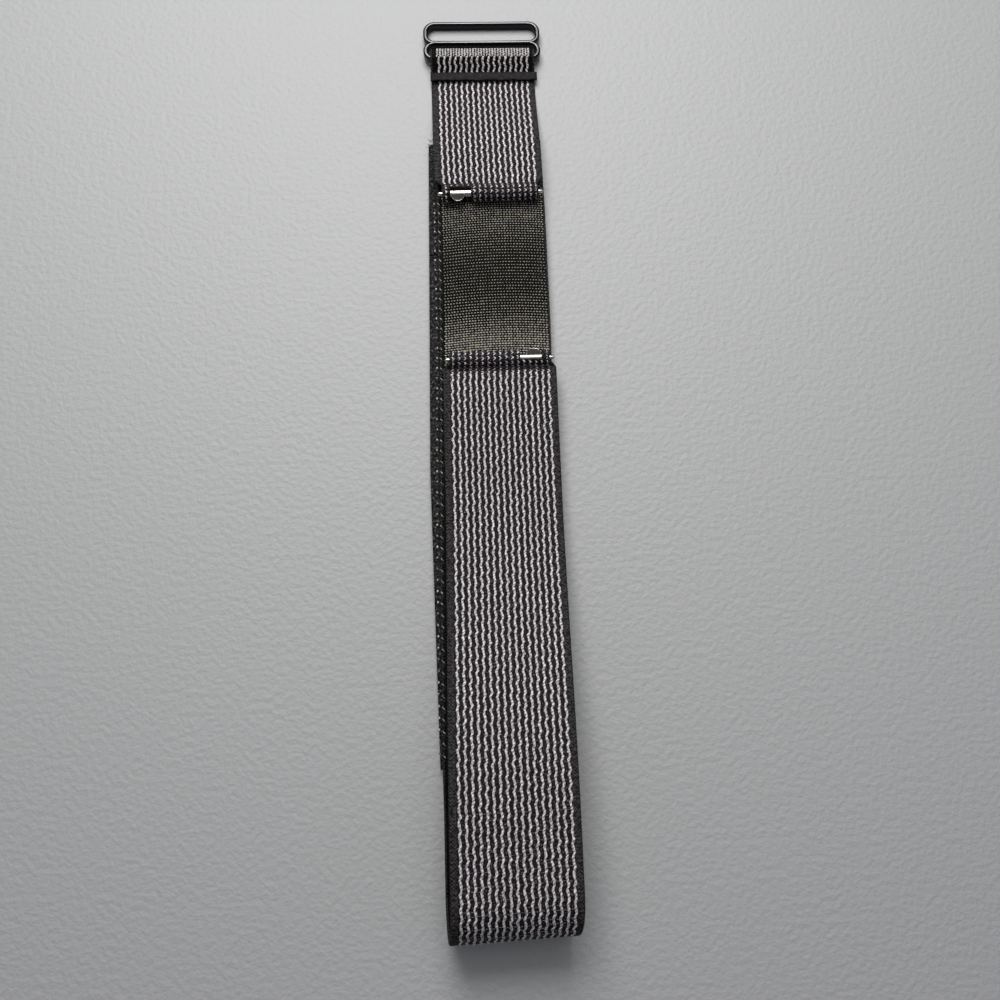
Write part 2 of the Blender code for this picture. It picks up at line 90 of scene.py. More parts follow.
def linear(hexText):
    # sRGB hex to linear: v/12.92 below 0.04045, else ((v + 0.055) / 1.055) to the power 2.4
    value = np.array([int(hexText[i:i + 2], 16) for i in (0, 2, 4)]) / 255
    made = np.where(value < 0.04045, value / 12.92, ((value + 0.055) / 1.055) ** 2.4)
    return (*made.tolist(), 1.0)


def addNode(tree, kind, settings, stops=(), output=0):
    # Adds one node and gives one of its outputs. A key is an input's name or number, or else a setting. A value
    # that is another node's output is linked.
    node = tree.nodes.new("ShaderNode" + kind)
    for key, value in settings.items():
        if isinstance(value, bpy.types.NodeSocket):
            tree.links.new(value, node.inputs[key])
        elif isinstance(key, int) or key in node.inputs:
            node.inputs[key].default_value = value
        else:
            setattr(node, key, value)
    if stops:
        elements = node.color_ramp.elements
        while len(elements) < len(stops):
            elements.new(0.5)
        for element, (place, colour) in zip(elements, stops):
            element.position, element.color = place, linear(colour)
    return node.outputs[output]


def startFinish(name, values):
    finish = bpy.data.materials.new(name)
    finish.use_nodes = True
    for key, value in values.items():
        finish.node_tree.nodes["Principled BSDF"].inputs[key].default_value = value
    return finish, finish.node_tree


def startCloth(name, roughness, ior, specular):
    # a finish whose patterns read the piece's own map, which is in millimetres across and along the webbing
    finish, tree = startFinish(name, {"Roughness": roughness, "IOR": ior, "Specular IOR Level": specular})
    place = addNode(tree, "UVMap", {"uv_map": "weave"})
    axes = addNode(tree, "SeparateXYZ", {0: place}).node.outputs
    return finish, tree, {"place": place, "across": axes[0], "along": axes[1]}


def endFinish(finish, links, height, depthMm, strength):
    # patterns to the shader's sockets, and a height pattern as relief of so many millimetres
    tree = finish.node_tree
    normal = addNode(tree, "Bump", {"Strength": strength, "Distance": depthMm * mm, "Height": height})
    for key, socket in {**links, "Normal": normal}.items():
        tree.links.new(socket, tree.nodes["Principled BSDF"].inputs[key])
    return finish


def clouds(tree, at, perMm, detail):
    # soft unevenness, with so many patches in a millimetre across and along
    scaled = addNode(tree, "Mapping", {"Scale": (*perMm, 1), "Vector": at["place"]})
    return addNode(tree, "TexNoise", {"Scale": 1.0, "Detail": detail, "Vector": scaled})


def grain(tree, sizeMm, detail):
    # unevenness in a plain object's own space, in patches of so many millimetres
    place = addNode(tree, "TexCoord", {}, output="Object")
    return addNode(tree, "TexNoise", {"Scale": 1 / (sizeMm * mm), "Detail": detail, "Vector": place})


def ripples(tree, value, lengthMm, share=1, base=0):
    # base + share × sin(2π value / length): waves laid over another pattern
    angle = addNode(tree, "Math", {"operation": "MULTIPLY", 0: value, 1: 2 * math.pi / lengthMm})
    wave = addNode(tree, "Math", {"operation": "SINE", 0: angle})
    return addNode(tree, "Math", {"operation": "MULTIPLY_ADD", 0: wave, 1: share, 2: base})


groundYarn = {
    "stops": ((0.40, "0c0a0c"), (0.52, "221b21"), (0.60, "221b21"), (0.70, "726c75")),  # purple black, pale ends
    "selvageStops": ((0.38, "0c0c0c"), (0.72, "4a4748")),
    "plyMm": 0.36,  # width of one filament bundle
    "ribMm": 0.60,  # distance between the selvage's ribs, along it and across
    "selvageStartMm": 9.75,
    "reliefMm": 0.09,
}


def makeGroundFinish():
    # Woven nylon 6, black dyed: a soft matt black, specked where pale filaments show through, with ribbed selvages.
    finish, tree, at = startCloth("wovenBlackNylon", 0.75, 1.53, 0.14)
    plies, ribs = 1 / groundYarn["plyMm"], 1 / groundYarn["ribMm"]
    ply = clouds(tree, at, (plies, 0.9 * plies), 3.0)
    colour = addNode(tree, "ValToRGB", {0: ply}, groundYarn["stops"])
    rib, rung = (ripples(tree, at[axis], groundYarn["ribMm"]) for axis in ("along", "across"))
    dots = addNode(tree, "Math", {"operation": "MULTIPLY", 0: rib, 1: rung})
    patches = clouds(tree, at, (ribs, 1.4 * ribs), 2.0)
    level = addNode(tree, "Math", {"operation": "MULTIPLY_ADD", 0: dots, 1: 0.14, 2: patches})
    edge = addNode(tree, "ValToRGB", {0: level}, groundYarn["selvageStops"])
    reach = addNode(tree, "Math", {"operation": "ABSOLUTE", 0: at["across"]})
    mask = addNode(tree, "Math", {"operation": "GREATER_THAN", 0: reach, 1: groundYarn["selvageStartMm"]})
    both = addNode(tree, "Mix", {"data_type": "RGBA", 0: mask, 6: colour, 7: edge}, output=2)
    height = ripples(tree, at["along"], groundYarn["ribMm"], 0.3, ply)
    return endFinish(finish, {"Base Color": both}, height, groundYarn["reliefMm"], 0.8)


innerYarn = {
    "stops": ((0.3, "080807"), (0.95, "1b1915")),
    "rowMm": 0.55,
    "dotMm": 0.52,
    "reliefMm": 0.08,
}


def makeInnerFinish():
    # The webbing's reverse, black nylon in fine cross ribs: near black with an olive cast.
    finish, tree, at = startCloth("wovenNylonReverse", 0.7, 1.53, 0.05)
    rows = ripples(tree, at["along"], innerYarn["rowMm"], 0.3, 0.5)
    level = ripples(tree, at["across"], innerYarn["dotMm"], 0.18, rows)
    colour = addNode(tree, "ValToRGB", {0: level}, innerYarn["stops"])
    return endFinish(finish, {"Base Color": colour}, level, innerYarn["reliefMm"], 0.8)


paleYarn = {
    "stopAt": (0.34, 0.5, 0.64),
    "patchesPerMm": (2.6, 2.2),
    "filamentMm": 0.07,  # one filament is finer than this, but this much shows
    "streaksPerMm": 1.6,
    "twistMm": 0.55,  # length of one turn of the ply
    "reliefMm": 0.03,
}


def makeYarnFinish(name, low, main, high, clarity=0.5):
    # Polyester filament yarn, lightly twisted: a satin gleam in slanting bundles, uneven along its length.
    finish, tree, at = startCloth(name, 0.5, 1.56, clarity)
    twists = 1 / paleYarn["twistMm"]
    slant = addNode(tree, "Math", {"operation": "MULTIPLY_ADD", 0: at["along"], 1: twists, 2: at["across"]})
    level = ripples(tree, slant, 1.0, 0.08, clouds(tree, at, paleYarn["patchesPerMm"], 3.0))
    colour = addNode(tree, "ValToRGB", {0: level}, tuple(zip(paleYarn["stopAt"], (low, main, high))))
    streaks = clouds(tree, at, (1 / paleYarn["filamentMm"], paleYarn["streaksPerMm"]), 1.0)
    height = ripples(tree, slant, 1.0, 0.4, streaks)
    return endFinish(finish, {"Base Color": colour}, height, paleYarn["reliefMm"], 0.7)


tapeYarn = {
    "stopAt": (0.36, 0.56, 0.70),
    "dust": "686865",
    "patchesPerMm": (2.0, 1.8),
    "reliefMm": 0.12,
}


def makeTapeFinish(name, low, high):
    # Black woven polyamide tape: matt, with dusty specks where filaments cross.
    finish, tree, at = startCloth(name, 0.85, 1.53, 0.12)
    level = clouds(tree, at, tapeYarn["patchesPerMm"], 3.0)
    colour = addNode(tree, "ValToRGB", {0: level}, tuple(zip(tapeYarn["stopAt"], (low, high, tapeYarn["dust"]))))
    return endFinish(finish, {"Base Color": colour}, level, tapeYarn["reliefMm"], 0.8)


fused = {
    "stops": ((0.3, "111112"), (0.62, "212123"), (0.8, "38383b")),
    "ribMm": 0.36,
    "cloudsPerMm": (0.9, 2.2),
    "reliefMm": 0.05,
    "ripple": 0.02,
    "sink": 0.03,
    "flatPoints": 121,
    "bendPoints": 7,
}


def makeFusedFinish():
    # Nylon melted by a hot knife: darker, smoother and a little glossy, with the ribs of the weave left in it.
    finish, tree, at = startCloth("heatFusedNylon", 0.65, 1.53, 0.12)
    cloud = clouds(tree, at, fused["cloudsPerMm"], 4.0)
    level, height = (ripples(tree, at["across"], fused["ribMm"], share, cloud) for share in (0.16, 0.3))
    colour = addNode(tree, "ValToRGB", {0: level}, fused["stops"])
    return endFinish(finish, {"Base Color": colour}, height, fused["reliefMm"], 0.6)


metal = {
    "cloudMm": 1.4,
    "hairlineMm": 0.12,
    "reliefMm": 0.004,
}


def makeMetalFinish(name, colour, roughness, spread):
    # Metal polished in a tumbler: mirror like, with faint clouds in its gloss and hairline marks.
    finish, tree = startFinish(name, {"Metallic": 1.0, "Base Color": linear(colour)})
    cloud = grain(tree, metal["cloudMm"], 4.0)
    gloss = addNode(tree, "MapRange", {"To Min": roughness - spread, "To Max": roughness + spread, "Value": cloud})
    return endFinish(finish, {"Roughness": gloss}, grain(tree, metal["hairlineMm"], 2.0), metal["reliefMm"], 0.35)


finishes = {
    "ground": makeGroundFinish(),
    "inner": makeInnerFinish(),
    "pale": makeYarnFinish("greyPolyesterYarn", "6c666a", "bcb6b8", "f8f5f6"),
    "float": makeYarnFinish("blackNylonFloatPaintedGlint", "736f66", "a9a498", "d4d0c5", 0.4),  # painted highlight: black loops coloured pale for their glints
    "tie": makeYarnFinish("greyWeftTie", "39373c", "67656b", "a8a6aa", 0.3),  # cross threads, half in shade
    "hook": makeTapeFinish("hookTapeBacking", "0a0a0b", "28282a"),
    "loop": makeTapeFinish("loopTapeBacking", "0b0b0c", "2b2b2d"),
    "fused": makeFusedFinish(),
    "thread": makeYarnFinish("sewingThreadPaintedGlint", "55544f", "a8a7a1", "e2e1da"),  # painted highlight: a black glossy thread coloured pale for its glints
    "darkThread": makeYarnFinish("blackGrooveThread", "0e0e0f", "1d1d1f", "3c3c3e", 0.3),
    "gunmetal": makeMetalFinish("blackPlatedZinc", "2c2c2f", 0.33, 0.06),
    "crestHighlight": makeMetalFinish("platedEdgePaintedHighlight", "6c6c6f", 0.3, 0.05),  # painted highlight: a brighter copy of the plating for the top flat
    "steel": makeMetalFinish("stainlessSteel", "d8d5cf", 0.27, 0.05),
    "lever": makeMetalFinish("pressedLeverSteel", "5c5c58", 0.32, 0.05),
}
print("finishes", len(finishes))


def gridQuads(count, rows, columns, stride):
    # The corners of every face of count grids. The last column joins the first one where the stride is the number
    # of columns, and a column of its own where the stride is one more.
    row = np.arange(rows - 1)[:, None] * stride
    one = np.arange(columns)[None]
    two = (one + 1) % stride
    quads = np.stack([row + one, row + two, row + two + stride, row + one + stride], -1)
    return (quads[None] + (np.arange(count) * rows * stride)[:, None, None, None]).reshape(-1, 4)


def spots(*parts):
    # points, or map places, from arrays that are spread to one shape
    return np.stack(np.broadcast_arrays(*parts), -1)


def meshPiece(name, points, uv, finishList, faceFinish=None, sharp=None, looped=False):
    # Closed tubes, each a grid of rings: points are (count, rows, columns, 3) in millimetres, and the map has one
    # more column, where the rings close. The ends have caps, except where the last row is the first one again.
    count, rows, columns, _ = points.shape
    quads = gridQuads(count, rows, columns, columns)
    if looped:
        quads = quads % ((rows - 1) * columns)
    corners, uvCorners = [quads.ravel()], [gridQuads(count, rows, columns, columns + 1).ravel()]
    starts, total = [np.arange(len(quads)) * 4], len(quads) * 4
    if not looped:
        ring, shell = np.arange(columns), np.arange(count)[:, None] * rows
        for order, row in ((ring[::-1], 0), (ring, rows - 1)):
            corners.append(((shell + row) * columns + order).ravel())
            uvCorners.append(((shell + row) * (columns + 1) + order).ravel())
            starts.append(total + np.arange(count) * columns)
            total += count * columns
    corners, uvCorners, starts = map(np.concatenate, (corners, uvCorners, starts))
    flat = points.reshape(-1, 3)[:-columns if looped else None]
    a, b, c, d = (flat[quads[:, k]] for k in range(4))
    volume = np.einsum("ij,ij->i", a, np.cross(b, c)) + np.einsum("ij,ij->i", a, np.cross(c, d))
    if volume.sum() < 0:  # turned inside out, so every face is read backwards
        ends = np.append(starts[1:], total)
        back = np.repeat(starts + ends - 1, ends - starts) - np.arange(total)
        corners, uvCorners = corners[back], uvCorners[back]
    mesh = bpy.data.meshes.new(name)
    mesh.vertices.add(len(flat))
    mesh.vertices.foreach_set("co", (flat * mm).astype(np.float32).ravel())
    mesh.loops.add(total)
    mesh.loops.foreach_set("vertex_index", corners.astype(np.int32))
    mesh.polygons.add(len(starts))
    mesh.polygons.foreach_set("loop_start", starts.astype(np.int32))
    if faceFinish is not None:  # one number for each column
        index = np.zeros(len(starts), np.int32)
        index[:len(quads)] = np.broadcast_to(faceFinish, (count, rows - 1, columns)).ravel()
        mesh.polygons.foreach_set("material_index", index)
    mesh.update(calc_edges=True)
    layer = mesh.uv_layers.new(name="weave")
    layer.uv.foreach_set("vector", uv.reshape(-1, 2)[uvCorners].astype(np.float32).ravel())
    mesh.shade_smooth()
    if sharp:
        mesh.set_sharp_from_angle(angle=math.radians(sharp))
    for finish in finishList:
        mesh.materials.append(finish)
    return addObject(name, mesh)


def tubePiece(name, routes, radii, sides, finish):
    # Round threads: a circle of the radius carried along each route, square to it. routes: (count, points, 3)
    routes = np.asarray(routes, float)
    ahead = np.gradient(routes, axis=1)
    ahead /= np.linalg.norm(ahead, axis=2, keepdims=True)
    side = np.cross(ahead, (0.0, 0.0, 1.0))
    upright = np.linalg.norm(side, axis=2, keepdims=True) < 0.05
    side = np.where(upright, np.cross(ahead, (0.0, 1.0, 0.0)), side)
    side /= np.linalg.norm(side, axis=2, keepdims=True)
    up = np.cross(side, ahead)
    turn = np.linspace(0, 2 * math.pi, sides + 1)[:-1]
    radii = np.broadcast_to(radii, routes.shape[:2])[:, :, None, None]
    ring = np.cos(turn)[:, None] * side[:, :, None] + np.sin(turn)[:, None] * up[:, :, None]
    points = routes[:, :, None] + radii * ring
    step = np.linalg.norm(np.diff(routes, axis=1), axis=2)
    length = np.concatenate([np.zeros((len(routes), 1)), np.cumsum(step, axis=1)], axis=1)
    shift = np.arange(len(routes))[:, None] * 7.3  # so that no two threads have the same pattern
    around = np.linspace(0, 1, sides + 1)[None, None] * 2 * math.pi * radii[..., 0]
    return meshPiece(name, points, spots(around, (length + shift)[:, :, None]), [finish])


def joined(name, parts):
    # one object of several shells that share their materials
    with bpy.context.temp_override(active_object=parts[0], selected_editable_objects=parts):
        bpy.ops.object.join()
    parts[0].name = parts[0].data.name = name
    return parts[0]


def steps(start, end, step):
    return np.linspace(start, end, max(2, int(round(abs(end - start) / step)) + 1))


def smoothShare(value, start, end):
    # rises from 0 to 1 between start and end, level at both: 3t² - 2t³
    share = np.clip((np.asarray(value, float) - start) / (end - start), 0, 1)
    return share * share * (3 - 2 * share)


def bandSection(low, high, cap, topPoints, underPoints, bendPoints, roundLow=True, roundHigh=True):
    # Ring round a flat band: its top left to right (part 1), its right edge (2), its underside back (0), its left
    # edge (2). An edge is half round, and square where the band is cut.
    turn = np.linspace(0, math.pi, bendPoints + 2)[1:-1]
    bend = cap * spots(np.sin(turn), np.cos(turn))
    left, right = low + cap * roundLow, high - cap * roundHigh
    ring = [spots(np.linspace(left, right, topPoints), cap), bend[:bendPoints * roundHigh] + (right, 0.0),
            spots(np.linspace(right, left, underPoints), -cap), (left, 0.0) - bend[:bendPoints * roundLow]]
    return np.concatenate(ring), np.repeat((1, 2, 0, 2), [len(part) for part in ring])


def ringMap(ring, along):
    # the map of a section carried along: its places across, closed with the first one, and along
    return spots(np.append(ring[:, 0], ring[0, 0])[None], along)[None]


strap = {
    "width": 22.0,
    "thickness": 0.75,
    "loopWidth": 19.4,
    "striped": 9.5,  # the striped part's half width, which the loops leave nearly as it is
    "squeeze": 0.025,
    "barRadius": 0.75,
    "loopClearance": 0.08,
    "flapLength": 8.0,
    "plyGap": 0.1,
    "tailDrop": 0.3,  # the tail lies so far below the flap
    "grooveDepth": 0.15,
    "grooveBend": 0.5,
    "grooveRamp": 1.1,
    "flapRamp": 5.5,
    "tapeRamp": 8.5,
    "fall": 60,  # degrees below level where a loop comes down behind its bar
    "lowRun": 4.2,
    "foldStart": -115.5,
    "foldRadius": 6.7,
    "foldCentre": -1.5,
    "foldSkew": 0.045,  # the fold runs a little aslant, lower at its left
    "foldSkewAt": (80, 118),
    "buckleSkew": -0.022,  # and so does the buckle's end, the other way
    "buckleSkewAt": (36, 47),
    "rise": (0.25, 0.90),  # shares of the run where it rises to the fold
    "slope": (0.28, 0.80),  # and where the short strap comes down to the table
    "tailAt": (-31.0, -16, 10, 60, 105),  # how far the tail's middle stands aside, at distances towards the fold
    "tailAside": (-1.0, -0.7, -0.6, -1.3, -1.5),
    "shortAt": (17.9, 22.0, 30.0, 45.0),
    "shortAside": (-0.7, -1.0, -1.2, -1.5),
    "step": 0.05,
}
half = strap["thickness"] / 2
limit = strap["width"] / 2
loopRadius = strap["barRadius"] + strap["loopClearance"] + half
flapHeight = longBar[2] - loopRadius
overFlap = flapHeight + strap["thickness"] + strap["plyGap"]
tailMiddle = flapHeight - strap["tailDrop"] - strap["thickness"]
foldMiddle = half + strap["foldRadius"]
foldTop = foldMiddle + strap["foldRadius"]


def arcLine(centre, radius, start, end):
    # a circular arc between two angles in degrees, a point for each 3 of them
    turn = np.radians(np.linspace(start, end, max(3, int(abs(end - start) / 3) + 1)))
    return spots(centre[0] + radius * np.cos(turn), centre[1] + radius * np.sin(turn))


def fallAndBend(crownEnd, level, heading, fall=strap["fall"]):
    # a straight fall from a loop's crown, and the small bend that levels it out
    slope = math.radians(fall)
    foot = crownEnd[0] + heading * (crownEnd[1] - level) / math.tan(slope)
    centre = (foot + heading * strap["grooveBend"] * math.tan(slope / 2), level + strap["grooveBend"])
    return arcLine(centre, strap["grooveBend"], -90 - heading * fall, -90)


def barLoop():
    # from the flap's end, under the bar, round it and down into the groove: (distance behind the bar, height)
    flap = spots(np.linspace(strap["flapLength"], 0, 60), flapHeight)
    turn = arcLine((0.0, longBar[2]), loopRadius, 270, 90 - strap["fall"])
    return np.concatenate([flap, turn, fallAndBend(turn[-1], overFlap, 1)])


def grooveLevel(away, groove):
    return overFlap + strap["grooveDepth"] * smoothShare(away, groove, groove + strap["grooveRamp"])


def makeLine(rows):
    # rows of (y, z, centre, width), made even along the line, with the stripe face's normal
    step = np.linalg.norm(np.diff(rows[:, :2], axis=0), axis=1)
    rows = rows[np.append(True, step > 1e-6)]
    at = np.append(0, np.cumsum(np.linalg.norm(np.diff(rows[:, :2], axis=0), axis=1)))
    even = np.arange(0, at[-1], strap["step"])
    y, z, centre, width = (np.interp(even, at, column) for column in rows.T)
    slope = np.gradient(spots(y, z), axis=0)
    slope /= np.linalg.norm(slope, axis=1, keepdims=True)
    return {"along": even, "y": y, "z": z, "centre": centre, "width": width, "ny": -slope[:, 1], "nz": slope[:, 0]}


def acrossIn(across, width):
    # The striped part hardly narrows in a loop. The selvages beside it give way instead.
    narrow = (strap["width"] - width) / (strap["width"] - strap["loopWidth"])
    shrink = 1 - strap["squeeze"] * narrow
    reach = np.abs(across)
    share = np.clip((reach - strap["striped"]) / (limit - half - strap["striped"]), 0, 1)
    band = (width / 2 - half - strap["striped"] * shrink) * share
    inner = np.minimum(reach, strap["striped"]) * shrink
    return np.sign(across) * (inner + band + np.maximum(reach - (limit - half), 0))


def placeOn(line, along, across, out):
    # a point of the webbing: across from its centre line, and out along the stripe face's normal
    along, across, out = np.broadcast_arrays(along, across, out)
    y, z, centre, width, ny, nz = (np.interp(along, line["along"], line[k])
                                   for k in ("y", "z", "centre", "width", "ny", "nz"))
    skew = (strap["foldSkew"] * smoothShare(-y, *strap["foldSkewAt"])
            + strap["buckleSkew"] * smoothShare(y, *strap["buckleSkewAt"]))
    return spots(centre + acrossIn(across, width), y + skew * across + ny * out, z + nz * out)


def nearest(line, y, z):
    return line["along"][np.argmin((line["y"] - y) ** 2 + (line["z"] - z) ** 2)]


def tailCentre(y):
    return np.interp(-np.asarray(y), strap["tailAt"], strap["tailAside"])


def longLine():
    # the tail, the half circle of the fold, the run, and the bar's loop walked backwards
    y = np.linspace(boxOf("tail_end_seal")[0][1] - 0.1, strap["foldStart"], 1200)
    tapeEnd = -boxOf("loop_tape")[0][1]
    z = tailMiddle - (tailMiddle - half) * smoothShare(-y, tapeEnd, tapeEnd + strap["tapeRamp"])
    tail = spots(y, z, tailCentre(y), strap["width"])
    turn = np.linspace(0, math.pi, 200)
    fold = spots(strap["foldStart"] - strap["foldRadius"] * np.sin(turn),
                 foldMiddle - strap["foldRadius"] * np.cos(turn),
                 strap["foldCentre"] * (1 - smoothShare(turn, 0, math.pi)), strap["width"])
    behind, height = barLoop()[::-1].T
    groove = behind[0]
    runLength = longBar[1] - strap["foldStart"]
    away = np.linspace(runLength, groove, 1500)
    level = grooveLevel(away, groove)
    level += (strap["lowRun"] - level) * smoothShare(away, strap["flapLength"], strap["flapLength"] + strap["flapRamp"])
    level += (foldTop - level) * smoothShare(away, strap["rise"][0] * runLength, strap["rise"][1] * runLength)
    run = spots(longBar[1] - away, level, 0.0, strap["width"])
    backWide = strap["width"] - (strap["width"] - strap["loopWidth"]) * smoothShare(-behind, -groove, -0.6)
    wide = np.where(height > overFlap - 0.02, backWide, strap["loopWidth"])
    return makeLine(np.concatenate([tail, fold, run, spots(longBar[1] - behind, height, 0.0, wide)]))


buckle = {
    "bar": 0.8,
    "wall": 1.0,
    "thickness": 1.8,
    "strapSlot": 3.3,
    "freeSlot": 4.25,
    "slotCorner": 1.55,
    "frameCorner": 2.4,
    "ridge": 0.20,  # half of the polished flat along the top, which also carries a painted highlight
    "chamfer": 0.20,
    "aside": -0.15,
    "widen": 0.15,  # the photo's frame reaches a hair past the solid's at both ends
    "tableGap": 0.04,
    "points": 260,
    "wrapGap": 0.18,
    "wrapAhead": 0.29,  # the loop is loose, and is drawn a little past its bar
    "tabFall": 42,
    "tabRise": 0.14,
    "tabLength": 4.6,
    "bandLength": 1.9,
}
wrapRadius = math.hypot(buckle["thickness"] / 2, buckle["bar"] / 2) + buckle["wrapGap"] + half
wrapCentre = (buckleBar[1] + buckle["wrapAhead"], half + wrapRadius)


def shortLine():
    # the bar's loop, the run, the wrap round the buckle's bar and the tab that comes back over the run
    loop = barLoop()
    groove = loop[-1, 0]
    runLength = buckleBar[1] - shortBar[1]
    away = np.linspace(groove, runLength, 700)
    level = grooveLevel(away, groove)
    level += (half - level) * smoothShare(away, strap["slope"][0] * runLength, strap["slope"][1] * runLength)
    widening = smoothShare(away, groove, groove + strap["grooveRamp"])
    run = spots(away, level, strap["loopWidth"] + (strap["width"] - strap["loopWidth"]) * widening)
    tabHeight = strap["thickness"] + strap["plyGap"] + half + buckle["tabRise"]
    wrap = arcLine((wrapCentre[0] - shortBar[1], wrapCentre[1]), wrapRadius, -90, 90 + buckle["tabFall"])
    bend = fallAndBend(wrap[-1], tabHeight, -1, buckle["tabFall"])
    tabEnd = runLength - buckle["tabLength"] + buckle["bandLength"] + strap["plyGap"]
    rest = np.concatenate([wrap, bend, spots(np.linspace(bend[-1, 0], tabEnd, 20), tabHeight)])
    away, z, width = np.concatenate([spots(*loop.T, strap["loopWidth"]), run, spots(*rest.T, strap["width"])]).T
    y = shortBar[1] + away
    return makeLine(spots(y, z, np.interp(y, strap["shortAt"], strap["shortAside"]), width))


long = longLine()
short = shortLine()
grooveAway = barLoop()[-1, 0]
foldOuter = strap["foldStart"] - strap["foldRadius"]
longMarks = {
    "tailEnd": long["along"][0],
    "foldStart": nearest(long, strap["foldStart"], half),
    "foldMiddle": nearest(long, foldOuter, foldMiddle),
    "foldEnd": nearest(long, strap["foldStart"], foldTop),
    "groove": nearest(long, longBar[1] - grooveAway, overFlap),
    "end": long["along"][-1],
}
shortGroove = nearest(short, shortBar[1] + grooveAway, overFlap)
print("lines", round(long["along"][-1], 1), round(short["along"][-1], 1))


weave = {
    "columns": 17,
    "pitch": 1.165,  # between two pale yarns
    "shift": 0.12,  # the whole set lies a little right of the middle
    "weft": 0.56,
    "warpRelief": 0.05,
    "weftRelief": 0.035,
    "edgeRelief": 0.02,
    "backRelief": 0.05,
    "facePoints": 77,
    "backPoints": 12,
    "edgePoints": 7,
    "tailPoints": 45,
    "fineStep": 0.14,
    "coarseStep": 0.45,
    "tailShows": (19.5, -19.5),  # the tail has its fine grid where it shows between the bars
}
allColumns = np.arange(weave["columns"])
columnAt = (allColumns - (weave["columns"] - 1) / 2) * weave["pitch"] + weave["shift"]


def faceHeight(across, weft):
    # Two dark bundles lie between neighbouring pale yarns, as |sin| across, and dip at every cross thread, as cos
    # along, neighbours half a step apart. The selvages have cross ribs alone.
    place = (across - weave["shift"]) / weave["pitch"] + 0.5 * (weave["columns"] - 1)
    bundle = np.abs(np.sin(2 * math.pi * place))
    dip = np.cos(weft + math.pi * np.floor(2 * place))
    field = weave["warpRelief"] * (bundle - 0.6) + weave["weftRelief"] * bundle * dip
    edge = smoothShare(np.abs(across), 9.9, 10.1)
    return field * (1 - edge) + weave["edgeRelief"] * np.cos(weft) * edge


def webbingPiece(name, line, along, low=-limit, high=limit,
                 facePoints=weave["facePoints"], backPoints=weave["backPoints"]):
    # The section carried along the line, with the weave's relief added along its normal: the stripe face's weave,
    # and a cosine for each cross thread on the back and on the edges.
    ring, part = bandSection(low, high, half, facePoints, backPoints, weave["edgePoints"],
                             low <= 0.01 - limit, high >= limit - 0.01)
    along = np.asarray(along)[:, None]
    across, out = ring.T[:, None]
    weft = 2 * math.pi * along / weave["weft"]
    relief = faceHeight(across, weft) * (part == 1) - weave["backRelief"] * np.cos(weft) * (part == 0)
    side = np.sign(across) * 0.6 * weave["edgeRelief"] * np.cos(weft) * (part == 2)
    points = placeOn(line, along, across + side, out + relief)[None]
    backFace = ((part == 0) & (np.roll(part, -1) == 0)).astype(np.int32)
    return meshPiece(name, points, ringMap(ring, along), [finishes["ground"], finishes["inner"]], backFace)


windows = {
    "half": 2.1,  # room for the lever and its travel
    "place": 6.0,
    "turns": (60.1, 228.3),  # degrees round the loop, from behind the bar, where the window starts and ends
}


def stripedWebbing(name, line, bar, gapSide, end, alongStart, alongEnd):
    # the run and its loop, with a window for the lever
    turns = np.radians(windows["turns"])
    first, last = sorted(nearest(line, bar[1] - gapSide * loopRadius * math.cos(turn),
                                 bar[2] + loopRadius * math.sin(turn)) for turn in turns)
    middle = bar[0] + end * windows["place"] - np.interp((first + last) / 2, line["along"], line["centre"])
    low, high = ((middle + s * windows["half"]) / (1 - strap["squeeze"]) for s in (-1, 1))
    leftPoints, rightPoints = (max(6, int(weave["facePoints"] * (limit + reach) / strap["width"]))
                               for reach in (low, -high))
    beside = steps(first, last, weave["fineStep"])
    parts = []
    if alongStart < first:
        parts.append(webbingPiece(name + "A", line, steps(alongStart, first, weave["fineStep"])))
    parts.append(webbingPiece(name + "B", line, beside, high=low, facePoints=leftPoints))
    parts.append(webbingPiece(name + "C", line, beside, low=high, facePoints=rightPoints))
    parts.append(webbingPiece(name + "D", line, steps(last, alongEnd, weave["fineStep"])))
    return joined(name, parts), (first, last, low, high)


showStart, showEnd = (nearest(long, y, tailMiddle) for y in weave["tailShows"])
tailAlong = np.concatenate([steps(longMarks["tailEnd"], showStart, weave["coarseStep"])[:-1],
                            steps(showStart, showEnd, weave["fineStep"]),
                            steps(showEnd, longMarks["foldStart"], weave["coarseStep"])[1:]])
longTail = webbingPiece("longTail", long, tailAlong, facePoints=weave["tailPoints"], backPoints=weave["tailPoints"])
dress(longTail, "long_strap_tail", "tail")

bendPoints = [(0, strap["foldStart"] * mm, half * mm), (0, foldOuter * mm, foldMiddle * mm),
              (0, strap["foldStart"] * mm, foldTop * mm)]
lowerBend = {"bodies": ("tail", "fold"), "start": bendPoints[0], "end": bendPoints[1]}
upperBend = {"bodies": ("fold", "front_run"), "start": bendPoints[1], "end": bendPoints[2]}
lowerSpan = longMarks["foldStart"], longMarks["foldMiddle"]
upperSpan = longMarks["foldMiddle"], longMarks["foldEnd"]
foldLower = webbingPiece("longFoldLower", long, steps(*lowerSpan, weave["fineStep"]))
foldUpper = webbingPiece("longFoldUpper", long, steps(*upperSpan, weave["fineStep"]))
dress(foldLower, "long_strap_fold_lower", blend=lowerBend)
dress(foldUpper, "long_strap_fold_upper", blend=upperBend)
longFront, longWindow = stripedWebbing("longFront", long, longBar, 1, 1, longMarks["foldEnd"], longMarks["end"])
dress(longFront, "long_strap_front", "front_run")
shortStrap, shortWindow = stripedWebbing("shortStrap", short, shortBar, -1, -1, 0.0, short["along"][-1])
dress(shortStrap, "short_strap_webbing", "short_strap")
print("webbing", [len(p.data.polygons) for p in (longTail, foldLower, foldUpper, longFront, shortStrap)])


